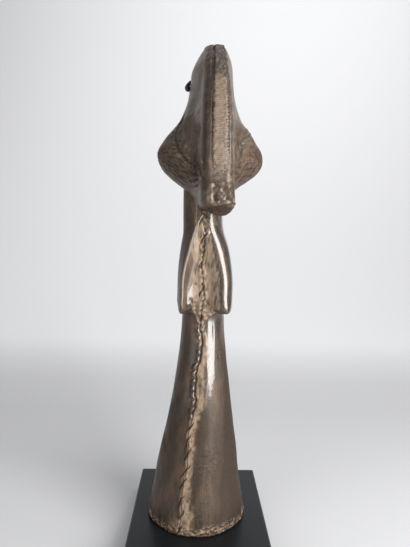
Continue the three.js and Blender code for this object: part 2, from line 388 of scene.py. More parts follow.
def section_distance(x, y, width, depth, power):
    """Distance to a rounded section: how far (|x|/width)^power + (|y|/depth)^power, taken to the
    power's root, is from 1, over the rate at which it grows."""
    u = np.abs(x) / width
    v = np.abs(y) / depth
    gauge = (u ** power + v ** power + 1e-9) ** (1 / power)
    growth = gauge ** (1 - power) * np.hypot(u ** (power - 1) / width, v ** (power - 1) / depth)
    return (gauge - 1) / growth


def body_distance(x, y, z):
    width, depth, shift, power = body_at(z)
    return section_distance(x - shift, y, width, depth, power)


def breast_middle(z, shift, side, form):
    """How far to the right the middle of a breast's section lies."""
    spread = form[3] * smooth_step(z, 120, 131)
    offset = breast_at(z)[0]
    return shift + BREAST_SHIFT + side * (offset + spread * np.minimum(offset / 7, 1))


def breast_distance(x, y, z, side, form):
    splay, tip, root, _, power = form
    _, width, depth, forward = breast_at(z)
    slimness = tip + (root - tip) * smooth_step(z, 138, 164)
    across, along = x - breast_middle(z, body_at(z)[2], side, form), y + forward
    turned_x = across * math.cos(splay) + along * math.sin(splay)
    turned_y = along * math.cos(splay) - across * math.sin(splay)
    return section_distance(turned_x, turned_y, width * slimness, depth, power)


def bodice_field(x, y, z):
    """Body joined with both breasts, below zero inside. The hollow beside the left one is wider in its
    lower half."""
    left = breast_distance(x, y, z, -1, LEFT_BREAST)
    right = breast_distance(x, y, z, 1, RIGHT_BREAST)
    reach = 2.8 + 3.6 * bell(z - 134, 9) * smooth_step(x, -13, -9)
    return join(join(body_distance(x, y, z), left, reach), right, 2.8)


def crest_outline(y, z):
    """Side view of the crest: a dome of two quarter ellipses over a sloping underside."""
    length = np.where(y < CREST_CENTRE, CREST_FRONT, CREST_BACK)
    u = (y - CREST_CENTRE) / length
    v = np.clip((z - CREST_BASE) / CREST_RISE, 0, None)
    gauge = np.hypot(u, v) + 1e-9
    dome = (gauge - 1) * gauge / np.hypot(u / length, v / CREST_RISE)
    depths, heights = np.array(UNDERSIDE, float).T
    below = (np.interp(y, depths, heights) - z) * 0.95
    return meet(dome, below, 0.9)


def crest_half_width(z, inside):
    """Half thickness of the crest away from the lobes: it grows from the flat front edge over the
    bevel, and shrinks towards the top."""
    rise = smooth_step(z, CREST_TAPER_START, CREST_BASE + CREST_RISE)
    bevel = np.sqrt(np.clip(inside / CREST_BEVEL, 0, 1))
    half = CREST_EDGE / 2 + (CREST_THICKNESS - CREST_EDGE) / 2 * bevel
    return half * (1 - (1 - CREST_TOP_WIDTH) * rise)


def lobe_share(y, z, power):
    """How much of the lobes' reach is left at a depth: one minus the square of the share of the
    crest's length, raised to a power that is high at the lobes and low above them."""
    rise = np.clip((z - CREST_BASE) / CREST_RISE, 0, 0.985)
    length = np.where(y < CREST_CENTRE, CREST_FRONT, CREST_BACK) * np.sqrt(1 - rise ** 2)
    return np.clip(1 - ((y - CREST_CENTRE) / length) ** 2, 0, 1) ** power


def blade_field(x, y, z):
    """Crest with its side lobes as a width to each side of its middle plane, below zero inside."""
    outline = crest_outline(y, z)

    def half_width(y, z):
        plain = crest_half_width(z, -outline)
        width, power = roof_at(z)
        share = lobe_share(y, z, power)
        return plain + np.clip(width - plain, 0, None) * share, share

    half, share = half_width(y, z)
    slope_y = (half_width(y + 0.6, z)[0] - half) / 0.6
    slope_z = (half_width(y, z + 0.6)[0] - half) / 0.6
    half = half * np.where(x < CREST_SHIFT, *keel_at(z))
    middle = CREST_SHIFT + (HEAD_SHIFT - CREST_SHIFT) * share
    side = (np.abs(x - middle) - half) / np.sqrt(1 + np.minimum(slope_y ** 2 + slope_z ** 2, 9))
    return meet(outline, side, 1.0)


def nose_field(x, y, z):
    """Blunt wrapped end at the bottom of the crest's front edge: a box with well rounded edges."""
    half = np.array([7.2, 6.0, 5.6])
    middle = np.array([CREST_SHIFT + 0.6, CREST_CENTRE - CREST_FRONT - 1.1 + half[1], 186])
    rounding = 3.4
    away = np.abs(np.stack([x, y, z], axis=-1) - middle) - half + rounding
    return np.linalg.norm(np.clip(away, 0, None), axis=-1) + np.minimum(away.max(axis=-1), 0) - rounding


def cheek_field(x, y, z):
    width, depth, forward, shift = cheek_at(z)
    section = section_distance(x - shift, y + forward, width, depth, 1.8)
    return np.maximum(section, np.maximum(180.5 - z, z - 225))


def head_field(x, y, z):
    """Crest and lobes joined with the rounded underside and the wrapped end, below zero inside."""
    whole = join(blade_field(x, y, z), cheek_field(x, y, z), 3.0)
    return join(whole, nose_field(x, y, z), 2.6)


def reach_along(field, start, rays, near, far, samples=40, halvings=16):
    """How far along each ray the surface of a field lies: the outermost of a row of samples that is
    inside it, and then the way to the next sample halved again and again."""
    steps = np.linspace(far, near, samples)
    shape = rays.shape[:-1]
    inner = np.full(shape, float(near))
    outer = np.full(shape, steps[1] - steps[0] + near)
    found = np.zeros(shape, bool)
    for outside, inside in zip(steps[:-1], steps[1:]):
        point = start + rays * inside
        hit = ~found & (field(point[..., 0], point[..., 1], point[..., 2]) < 0)
        inner = np.where(hit, inside, inner)
        outer = np.where(hit, outside, outer)
        found |= hit
    for _ in range(halvings):
        middle = (inner + outer) / 2
        point = start + rays * middle[..., None]
        within = field(point[..., 0], point[..., 1], point[..., 2]) < 0
        inner = np.where(within, middle, inner)
        outer = np.where(within, outer, middle)
    return (inner + outer) / 2


def reach_near(field, start, rays, guess, margin, samples=9):
    """As reach_along(), but only within a margin of a guess for each ray."""
    start = start + rays * (guess - margin)[..., None]
    return guess - margin + reach_along(field, start, rays, 0, 2 * margin, samples=samples, halvings=12)


def grid_value(values, low_axis, high_axis, first, second):
    """Value between the points of an even grid: the mean of the four around it, weighted by nearness."""
    row = (first - low_axis[0]) / (low_axis[1] - low_axis[0])
    column = (second - high_axis[0]) / (high_axis[1] - high_axis[0])
    i = np.clip(row.astype(int), 0, len(low_axis) - 2)
    j = np.clip(column.astype(int), 0, len(high_axis) - 2)
    u, v = row - i, column - j
    low = values[i, j] * (1 - v) + values[i, j + 1] * v
    high = values[i + 1, j] * (1 - v) + values[i + 1, j + 1] * v
    return low * (1 - u) + high * u


def closed_grid(points):
    """Faces of rows of points that run around a piece: each row is a ring, and the first and the last
    are closed with a fan on the middle of the ring. Returns all points, quads and triangles."""
    rows, columns = points.shape[:2]
    number = np.arange(rows * columns).reshape(rows, columns)
    beside = np.roll(number, -1, axis=1)
    quads = np.stack([number[:-1], beside[:-1], beside[1:], number[1:]], axis=-1).reshape(-1, 4)
    low = np.full(columns, rows * columns)
    high = low + 1
    fans = np.concatenate([
        np.stack([beside[0], number[0], low], axis=-1),
        np.stack([number[-1], beside[-1], high], axis=-1),
    ])
    ends = np.stack([points[0].mean(axis=0), points[-1].mean(axis=0)])
    return np.concatenate([points.reshape(-1, 3), ends]), quads, fans


def make_piece(name, points, quads, triangles, marks=None):
    """Object at the origin from points in the doll's millimetres, with one attribute for each mark."""
    mesh = bpy.data.meshes.new(name)
    mesh.vertices.add(len(points))
    mesh.vertices.foreach_set("co", to_row(points).astype(np.float32).ravel())
    corners = np.concatenate([quads.ravel(), triangles.ravel()]).astype(np.int32)
    sizes = np.concatenate([np.full(len(quads), 4), np.full(len(triangles), 3)])
    starts = np.concatenate([[0], np.cumsum(sizes)[:-1]]).astype(np.int32)
    mesh.loops.add(len(corners))
    mesh.loops.foreach_set("vertex_index", corners)
    mesh.polygons.add(len(starts))
    mesh.polygons.foreach_set("loop_start", starts)
    mesh.polygons.foreach_set("use_smooth", np.ones(len(starts), bool))
    mesh.update(calc_edges=True)
    if mesh.validate():
        raise RuntimeError(f"{name} has faulty faces")
    for mark, values in (marks or {}).items():
        attribute = mesh.attributes.new(mark, "FLOAT", "POINT")
        attribute.data.foreach_set("value", np.asarray(values, np.float32))
    piece = bpy.data.objects.new(name, mesh)
    bpy.context.scene.collection.objects.link(piece)
    return piece


def grid_normals(points):
    """Unit normals of a ring grid: the cross product of the way to the next column and the next row."""
    around = np.roll(points, -1, axis=1) - np.roll(points, 1, axis=1)
    up = np.gradient(points, axis=0)
    normals = np.cross(around, up)
    return normals / np.maximum(np.linalg.norm(normals, axis=-1, keepdims=True), 1e-9)


def with_end_values(values):
    """Values of a ring grid followed by those of its two end points."""
    return np.concatenate([values.ravel(), [values[0].mean(), values[-1].mean()]])


def dress(piece, slot, finish, *nodes):
    """Gives a finished piece its material and its place in the frame."""
    piece.data.materials.clear()
    piece.data.materials.append(finish)
    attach(piece, "root")
    if nodes:
        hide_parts(*nodes)
    return piece


def seam_line(z):
    """Where the front seam lies to the right of the middle: it drifts left below the waist and wanders."""
    return -1.2 - 0.11 * np.clip(103 - z, 0, None) + 0.7 * np.sin(z / 5)


def columns_from_seam(count, closeness):
    """Directions from the seam around the body and back, closer together near the seam."""
    even = (np.arange(count) + 0.5) / count * 2 - 1
    return math.pi * (even / closeness + (1 - 1 / closeness) * even ** 3)


def chest_seam(beside, z, patchy, sizes):
    """Relief, grime and wear of the seam between the breasts: a hole at each pitch in a thin gap, a
    few longer slashes that slant down to the left, and leather rubbed tan around them."""
    number = np.floor(z / HOLE_PITCH)
    along = z - (number + 0.35 + 0.3 * chance(number, 3)) * HOLE_PITCH
    hole = bell(along - 0.9 * beside, 0.40 + 0.45 * chance(number, 5)) * bell(beside, 0.60)
    grime_and_shade = np.maximum(0.9 * hole, 0.35 * bell(beside, 0.34))
    for height, length in CHEST_SLASHES:
        reach = smooth_step(beside, -length - 0.7, -length + 0.5) * (1 - smooth_step(beside, 0.3, 1.3))
        grime_and_shade = np.maximum(grime_and_shade, bell(z - height - 1.5 * beside, 0.85) * reach)
    bank = bell(np.abs(beside) - 1.3, 0.9)
    relief = bank * (0.30 + 0.22 * patchy) - sizes.gap_depth / MM * grime_and_shade
    relief = relief * (1 - 0.7 * smooth_step(z, 168, 176))
    worn_and_lit = (1 - smooth_step(np.abs(beside - 0.2), 0.8, 2.8)) * (0.50 + 0.35 * patchy)
    grime_and_shade = np.maximum(grime_and_shade, 0.75 * bell(beside, 2.2) * smooth_step(-patchy, -0.3, 0.9))
    return relief, grime_and_shade, worn_and_lit


def beaded_seam(beside, z, patchy, sizes):
    """The same below the breasts: a rolled lip left of the gap, pinched into beads by the sewing."""
    number = np.floor(z / BEAD_PITCH)
    along = z / BEAD_PITCH - number - 0.5
    bead = np.sqrt(np.clip(1 - (2.1 * along) ** 2, 0, 1)) * (0.6 + 0.5 * chance(number, 4))
    gap = bell(beside - 0.1, 0.42)
    pinch = (1 - bead) * bell(beside + 0.9, 0.9)
    relief = sizes.lip_height / MM * bell(beside + 1.3, 1.3) * (0.1 + 1.8 * bead)
    relief = relief - sizes.gap_depth / MM * gap
    wide = 2.4 * (1 - smooth_step(z, 84, 100))
    right = smooth_step(beside, -0.2, 0.5) * (1 - smooth_step(beside, 1.0 + wide, 5.4 + wide))
    left = smooth_step(beside, -8.0, -3.0) * (beside < 0) * smooth_step(z, 96, 106)
    worn_and_lit = (0.70 + 0.12 * patchy) * right + 0.60 * left
    return relief, np.maximum(gap, 0.55 * pinch), worn_and_lit


def twisted_seam(beside, z, patchy, sizes):
    """The same on the flared foot: curved slashes once each pitch, leather that swells between them
    like the strands of a rope, and a tan margin on the right that grows wider towards the foot."""
    pitch = sizes.stitch_pitch / MM
    curve = z - 1.5 * beside - 0.18 * beside * np.abs(beside)
    number = np.floor(curve / pitch)
    along = curve - (number + 0.5 + 0.3 * (chance(number, 3) - 0.5)) * pitch
    start = -1.6 - 1.2 * chance(number, 7)
    reach = smooth_step(beside, start - 0.8, start + 0.6) * (1 - smooth_step(beside, 0.6, 1.6))
    slash = bell(along, 0.42 + 0.28 * chance(number, 9)) * reach
    gap = 0.8 * bell(beside + 0.3, 0.4)
    strand = np.clip(np.abs(along) / pitch * 2, 0, 1) ** 0.5 * bell(beside + 0.4, 1.7)
    relief = sizes.lip_height / MM * 0.85 * strand - sizes.gap_depth / MM * np.maximum(slash, 0.6 * gap)
    relief = relief + 0.13 * patchy * bell(beside - 2, 3.5)
    width = 4.4 + 4.4 * (1 - smooth_step(z, 4, 38))
    margin = smooth_step(beside, -0.8, 0.4) * (1 - smooth_step(beside, 0.35 * width, 1.35 * width))
    crest = bell(beside + 1.2, 1.2) * strand
    worn_and_lit = margin * (0.88 + 0.16 * patchy) + 0.75 * crest
    return relief, np.maximum(slash, gap * 0.8), worn_and_lit


def seam_marks(points, aside, sizes):
    """Relief, grime and wear of the sewn front seam at a distance to its right: its three stretches,
    each weighted by how far the height lies in it."""
    z = points[..., 2]
    patchy = ripples(points, 3.0, 17)
    beside = aside - 0.30 * np.sin(z / 1.9 + 1.3) - 0.18 * np.sin(z / 0.83)
    chest = smooth_step(z, 108, 115)
    low = 1 - smooth_step(z, 60, 68)
    stretches = zip(
        chest_seam(beside, z, patchy, sizes),
        beaded_seam(beside, z, patchy, sizes),
        twisted_seam(beside, z, patchy, sizes),
    )
    relief, grime_and_shade, worn_and_lit = (a * chest + b * (1 - chest) * (1 - low) + c * low for a, b, c in stretches)
    return relief, np.clip(grime_and_shade, 0, 1), np.clip(worn_and_lit, 0, 1)


def around_seam(points, shift):
    """Distance to the right of the seam along the surface: the direction from the seam times the
    distance from the body's axis."""
    out = np.hypot(points[..., 0] - shift, points[..., 1])
    direction = np.arctan2(points[..., 0] - shift, -points[..., 1])
    seam = np.arctan2(seam_line(points[..., 2]) - shift, out)
    turn = (direction - seam + math.pi) % (2 * math.pi) - math.pi
    return turn * out


def rays_at(directions, z, shift):
    """Level rays from the body's axis, turned with the seam."""
    width, depth = body_at(z)[:2]
    seam = np.arcsin(np.clip((seam_line(z) - shift) / width, -0.9, 0.9))
    angle = directions + seam
    return np.stack([np.sin(angle), -np.cos(angle), np.zeros_like(angle)], axis=-1)


def skirt_surface(sizes):
    """Casing of the body below the bodice. A point lies on a level ray from the axis where the body's
    section is met, at a height that grows from row to row; the first rows fold under the foot."""
    columns = columns_from_seam(300, 2.6)
    heights = np.concatenate([np.linspace(0.2, 5, 22)[:-1], np.linspace(5, SKIRT_TOP, 290)])
    z, directions = np.meshgrid(heights, columns, indexing="ij")
    shift = body_at(z)[2]
    rays = rays_at(directions, z, shift)
    start = np.stack([shift, np.zeros_like(z), z], axis=-1)
    points = start + rays * reach_along(body_distance, start, rays, 4, 36)[..., None]
    aside = around_seam(points, shift)
    relief, grime_and_shade, worn_and_lit = seam_marks(points, aside, sizes)

    even = sizes.unevenness / MM
    relief = relief + even * ripples(points, 24, 11, stretch=(1, 1, 3))
    relief = relief + 0.09 * ripples(points, 7, 12, stretch=(1, 1, 4))
    relief = relief + 0.03 * ripples(points, 2.6, 20, stretch=(1, 1, 8))
    creases = ripples(points, 1.8, 27, stretch=(6, 1, 1)) * bell(z - 40, 7) * bell(aside - 10, 9)
    relief = relief + 0.10 * creases
    ridge = bell(aside - (21.5 - 0.03 * z), 3.2) * smooth_step(z, 4, 16) * (1 - smooth_step(z, 96, 112))
    relief = relief + 0.45 * ridge

    rim = 1 - smooth_step(z + 1.0 * ripples(points, 9, 18), 3.0, 5.8)
    lumps = ripples(points, 3.4, 14, stretch=(1, 1, 0.7)) + 0.6 * ripples(points, 1.7, 19)
    crack = rim * smooth_step(-lumps, 0.6, 1.7)
    relief = relief + rim * (0.30 + 0.34 * lumps)
    blotches = smooth_step(ripples(points, 7, 15) + 0.5 * ripples(points, 2.5, 21), -0.3, 1.1)
    worn_and_lit = np.maximum(worn_and_lit, rim * np.clip(0.50 + 0.45 * lumps, 0, 1))
    worn_and_lit = np.maximum(worn_and_lit, 0.72 * bell(z - 3, 5) * (0.5 + 0.5 * blotches))
    worn_and_lit = np.maximum(worn_and_lit, 0.75 * bell(aside - 1, 9) * bell(z - 5, 9))
    # The lowest millimetre of the foot is painted dark as the shade where it meets the plate; the hollows between
    # the rim's lumps are darker too
    grime_and_shade = np.maximum(grime_and_shade, np.maximum(0.9 * crack, 1 - smooth_step(z, 0.3, 1.1)))

    # Painted shadow on the skirt just below and under the bodice's lower edge
    beyond = bodice_edge_at(np.degrees(directions))[0] - z
    bodice_shadow = smooth_step(-beyond, -1.4, -0.2) * smooth_step(np.abs(directions), 0.2, 0.5)
    grime_and_shade = np.maximum(grime_and_shade, 0.85 * bodice_shadow)

    # Painted shade: the skirt is darker about its lower middle, on a stripe about 6.6 mm right of the seam, and
    # towards its right side, where the key light falls off
    painted_skirt_shade = 0.8 * bell(z - 54, 30) * (0.65 + 0.35 * ripples(points, 6, 24, stretch=(1, 1, 2)))
    painted_skirt_shade = painted_skirt_shade + 0.35 * bell(aside - 6.6, 2.4) * (1 - smooth_step(z, 60, 80))
    # Painted light: a pale stripe 12.5 mm right of the seam below the polished part stands for the lamp's dim
    # reflection there
    worn_and_lit = np.maximum(worn_and_lit, 0.28 * bell(aside - 12.5, 3.0) * (1 - smooth_step(z, 66, 84)))
    painted_skirt_shade = painted_skirt_shade + 0.64 * smooth_step(aside, 9, 26) * (1 - smooth_step(z, 100, 120))
    grime_and_shade = np.maximum(grime_and_shade, painted_skirt_shade * (1 - 0.8 * worn_and_lit))
    uneven_aside = aside + 0.7 * ripples(points, 2.5, 23)
    gloss = smooth_step(uneven_aside + 0.19 * z, 21.6, 23.8) * (1 - smooth_step(uneven_aside - 0.2 * z, -7.6, -5.4))
    polish = smooth_step(z + 3 * blotches, 66, 80) * (0.16 * (1 - smooth_step(aside, 8, 12)) + 0.84 * gloss)
    polish = np.maximum(polish, bell(aside + 0.8, 1.3) * smooth_step(z, 58, 68))

    points = points + grid_normals(points) * relief[..., None]
    lift = 0.5 * np.clip(ripples(points, 8, 16), 0, None) * (1 - smooth_step(z, 0, 2.5))
    points[..., 2] += lift
    under = points[:1].copy()
    under[..., :2] = start[:1, :, :2] + (under[..., :2] - start[:1, :, :2]) * 0.86
    under[..., 2] = 0.15
    points = np.concatenate([under, points])
    ruddy = smooth_step(ripples(points[1:], 10, 25, stretch=(1, 1, 2)), -0.2, 1.2)
    marks = {"grime_and_shade": grime_and_shade, "worn_and_lit": worn_and_lit, "polish": polish, "ruddy": ruddy}
    return points, {name: np.concatenate([mark[:1], mark]) for name, mark in marks.items()}


def ridge_lines(z, shift):
    """How far to the right the ridges of the left and the right breast lie."""
    depth = breast_at(z)[2]
    left, right = (
        breast_middle(z, shift, side, form) + depth * math.sin(form[0])
        for side, form in ((-1, LEFT_BREAST), (1, RIGHT_BREAST))
    )
    return left, right


def chest_wear(points, shift):
    """Wear of the panel between the ridges of the breasts: most beside the seam and less towards the
    ridges, and below their middle least on the left breast's inner side."""
    x, z = points[..., 0], points[..., 2]
    left, right = ridge_lines(z, shift)
    low = 1 - smooth_step(z, 148, 160)
    panel = smooth_step(x - left, 0.4 + 3.5 * low, 1.6 + 5.5 * low) * smooth_step(right - x, -1.0, 6.5)
    return panel * (1 - 0.6 * smooth_step(z, 165, 180))


def bodice_surface(sizes):
    """Casing of the chest and neck, laid over the skirt. Level rays from the axis meet the body joined
    with the breasts, at heights that grow from its pointed lower edge; the first rows run outwards
    under that edge, lowest at the breasts' tips."""
    columns = columns_from_seam(320, 2.2)
    edge = bodice_edge_at(np.degrees(columns))[0]
    share = np.linspace(0, 1, 270)[:, None]
    z = edge + (BODICE_TOP - edge) * (0.75 * share + 0.25 * share ** 2)
    directions = np.broadcast_to(columns, z.shape)
    shift = body_at(z)[2]
    rays = rays_at(directions, z, shift)
    start = np.stack([shift, np.zeros_like(z), z], axis=-1)
    points = start + rays * reach_along(bodice_field, start, rays, 4, 36)[..., None]
    aside = around_seam(points, shift)
    relief, grime_and_shade, worn_and_lit = seam_marks(points, aside, sizes)

    rise = z - edge
    over = sizes.overlap / MM
    front = smooth_step(np.cos(directions), -0.6, 0.3)
    relief = relief + over * (0.35 + 0.65 * front) * (0.45 + 0.55 * smooth_step(rise, -0.2, 1.0))
    even = sizes.unevenness / MM
    relief = relief + even * ripples(points, 20, 21, stretch=(1, 1, 3))
    gathers = ripples(points, 3.6, 22, stretch=(1, 1, 0.8)) * bell(rise - 3, 5) * bell(aside + 1, 7)
    relief = relief + 1.6 * sizes.wrinkles / MM * gathers
    streaks = ripples(points, 1.7, 26, stretch=(1, 1, 5))
    worn_and_lit = np.maximum(worn_and_lit, chest_wear(points, shift) * front * (0.84 + 0.30 * streaks))
    worn_and_lit = np.maximum(worn_and_lit, 0.46 * front * smooth_step(z, 160, 176))
    edge_wear = bell(rise - 0.6, 0.9) * (1 - smooth_step(np.abs(aside), 5, 9))
    worn_and_lit = np.maximum(worn_and_lit, 0.7 * edge_wear)
    # Painted shade along the bodice's lower edge, where it lies over the skirt
    grime_and_shade = np.maximum(grime_and_shade, 0.8 * bell(rise, 0.35) * front)
    # Painted shade in the troughs of the gathers
    grime_and_shade = np.maximum(grime_and_shade, 0.55 * smooth_step(-gathers, 0.25, 0.9))

    points = points + grid_normals(points) * relief[..., None]
    lowest = points[:1]
    axis = start[:1]
    width = body_at(z[:1])[0]
    out = np.hypot(lowest[..., 0] - axis[..., 0], lowest[..., 1])
    reach = np.linspace(0, 1, 9)[:-1, None]
    inner = np.minimum((width - 1.6) / out, 1)
    scale = inner + (1 - inner) * reach
    under = axis + (lowest - axis) * scale[..., None]
    under[..., 2] = lowest[..., 2] + 0.22 * (out * (1 - scale))
    points = np.concatenate([under, points])
    across = points[8:, :, 0]
    left_ridge, right_ridge = ridge_lines(z, shift)
    toward_tip = across + 4.4 + 0.35 * np.clip(142 - z, 0, 20)
    inner_patch = smooth_step(bell(toward_tip, 2.4) * bell(z - 134, 10) + 0.25 * gathers, 0.35, 0.75)
    high = 3.5 * smooth_step(z, 158, 170)
    left_shine = bell(across - left_ridge, 0.6) * (1 - 0.65 * smooth_step(z, 146, 158))
    shine = np.maximum(smooth_step(across - right_ridge + high, -5.5, -1.5), left_shine)
    polish = 0.14 + 0.86 * front * np.maximum(shine, 0.8 * inner_patch)
    ruddy = 0.5 * smooth_step(left_ridge + 6 - across, 0, 2)
    marks = {"grime_and_shade": grime_and_shade, "worn_and_lit": worn_and_lit, "polish": polish, "ruddy": ruddy}
    return points, {name: np.concatenate([np.repeat(mark[:1], 8, axis=0), mark]) for name, mark in marks.items()}


def beside_path(x, z, path):
    """Distance from a seam seen from the front, positive on its right going down, and the length
    along it of the nearest point."""
    best = np.full(np.shape(x), 1e9)
    signed = np.zeros(np.shape(x))
    along = np.zeros(np.shape(x))
    done = 0.0
    for (x0, z0), (x1, z1) in zip(path[:-1], path[1:]):
        length = math.hypot(x1 - x0, z1 - z0)
        ux, uz = (x1 - x0) / length, (z1 - z0) / length
        t = np.clip((x - x0) * ux + (z - z0) * uz, 0, length)
        away = np.hypot(x - x0 - t * ux, z - z0 - t * uz)
        nearer = away < best
        side = np.sign((x - x0) * uz - (z - z0) * ux)
        best = np.where(nearer, away, best)
        signed = np.where(nearer, away * side, signed)
        along = np.where(nearer, done + t, along)
        done += length
    return signed, along


def head_rays(turns, tilts):
    """Unit rays: a turn goes around the line through both lobes, from the front over the top, and a
    tilt leans towards the right lobe."""
    return np.stack([
        np.sin(tilts),
        -np.cos(tilts) * np.cos(turns),
        np.cos(tilts) * np.sin(turns),
    ], axis=-1)


def head_surface(sizes):
    """Casing of the head: rays from a point between the lobes meet the joined crest, lobes and
    underside. The turns of the rays go around the line through both lobes, and their tilts are
    spread so that the points are evenly spaced along the profile from one lobe over the crest to
    the other."""
    rows, columns = 212, 460
    coarse_tilts = np.linspace(-math.pi / 2 + 0.002, math.pi / 2 - 0.002, 241)
    coarse_turns = np.linspace(0, 2 * math.pi, 231)
    tilts, turns = np.meshgrid(coarse_tilts, coarse_turns, indexing="ij")
    rays = head_rays(turns, tilts)
    coarse = reach_along(head_field, HEAD_MIDDLE, rays, 2, 84, samples=42, halvings=9)
    pace = np.linalg.norm(np.diff(HEAD_MIDDLE + rays * coarse[..., None], axis=0), axis=-1) + 0.02
    length = np.concatenate([np.zeros((1, len(coarse_turns))), np.cumsum(pace, axis=0)])
    share = length / length[-1]
    wanted = np.linspace(0, 1, rows)
    spread = np.stack([np.interp(wanted, line, coarse_tilts) for line in share.T], axis=-1)

    turns = np.arange(columns) / columns * 2 * math.pi
    tilts = np.stack([np.interp(turns, coarse_turns, line) for line in spread])
    turns = np.broadcast_to(turns, tilts.shape)
    rays = head_rays(turns, tilts)
    guess = grid_value(coarse, coarse_tilts, coarse_turns, tilts, turns)
    reach = reach_near(head_field, HEAD_MIDDLE, rays, guess, 3.0)
    points = HEAD_MIDDLE + rays * reach[..., None]
    relief, marks = head_marks(points, sizes)
    return points + grid_normals(points) * relief[..., None] + drawn_up(points), marks


def strip_half_width(z):
    return CREST_EDGE / 2 * (1 - (1 - CREST_TOP_WIDTH) * smooth_step(z, CREST_TAPER_START, 270))


def drawn_up(points):
    """Way by which the casing is drawn up towards the strip's edges: out of the crest in the side
    view, most beside the strip's thick right edge, and none at its ends."""
    x, y, z = points[..., 0], points[..., 1], points[..., 2]
    beside = bell(np.abs(x - STRIP_SHIFT) - strip_half_width(z) - 0.5, 1.2) * (y < CREST_CENTRE)
    rise = np.where(x < STRIP_SHIFT, 0.1, 0.95) * beside * (1 - smooth_step(-crest_outline(y, z), 1.5, 4.0))
    rise = rise * smooth_step(z, 196, 206) * (1 - smooth_step(z, 258, 266))
    out = unit(np.stack([
        0 * x, (y - CREST_CENTRE) / CREST_FRONT ** 2, (z - CREST_BASE) / CREST_RISE ** 2,
    ], axis=-1))
    return out * rise[..., None]


def lobe_seam_marks(signed, along, front):
    """Relief, painted shade and wear of the whipped seam on the front of the left lobe: a crease, darkened
    as painted shadow and pulled together at each stitch."""
    tug = 0.5 + 0.5 * np.sin(along * 2 * math.pi / 2.5 + 0.8 * np.sin(along))
    crease = bell(signed, 0.75) * front
    pucker = bell(signed - 1.4, 1.0) * front * tug
    edges = bell(np.abs(signed) - 1.5, 0.8) * front * (0.4 + 0.6 * tug)
    return 0.4 * pucker - 0.9 * crease, crease * (0.65 + 0.35 * tug), edges


def slanted(points, lean):
    """Points turned in the front view, so that a stretch along x runs up to the right by the lean."""
    x, y, z = points[..., 0], points[..., 1], points[..., 2]
    return np.stack([
        x * math.cos(lean) + z * math.sin(lean),
        y,
        z * math.cos(lean) - x * math.sin(lean),
    ], axis=-1)


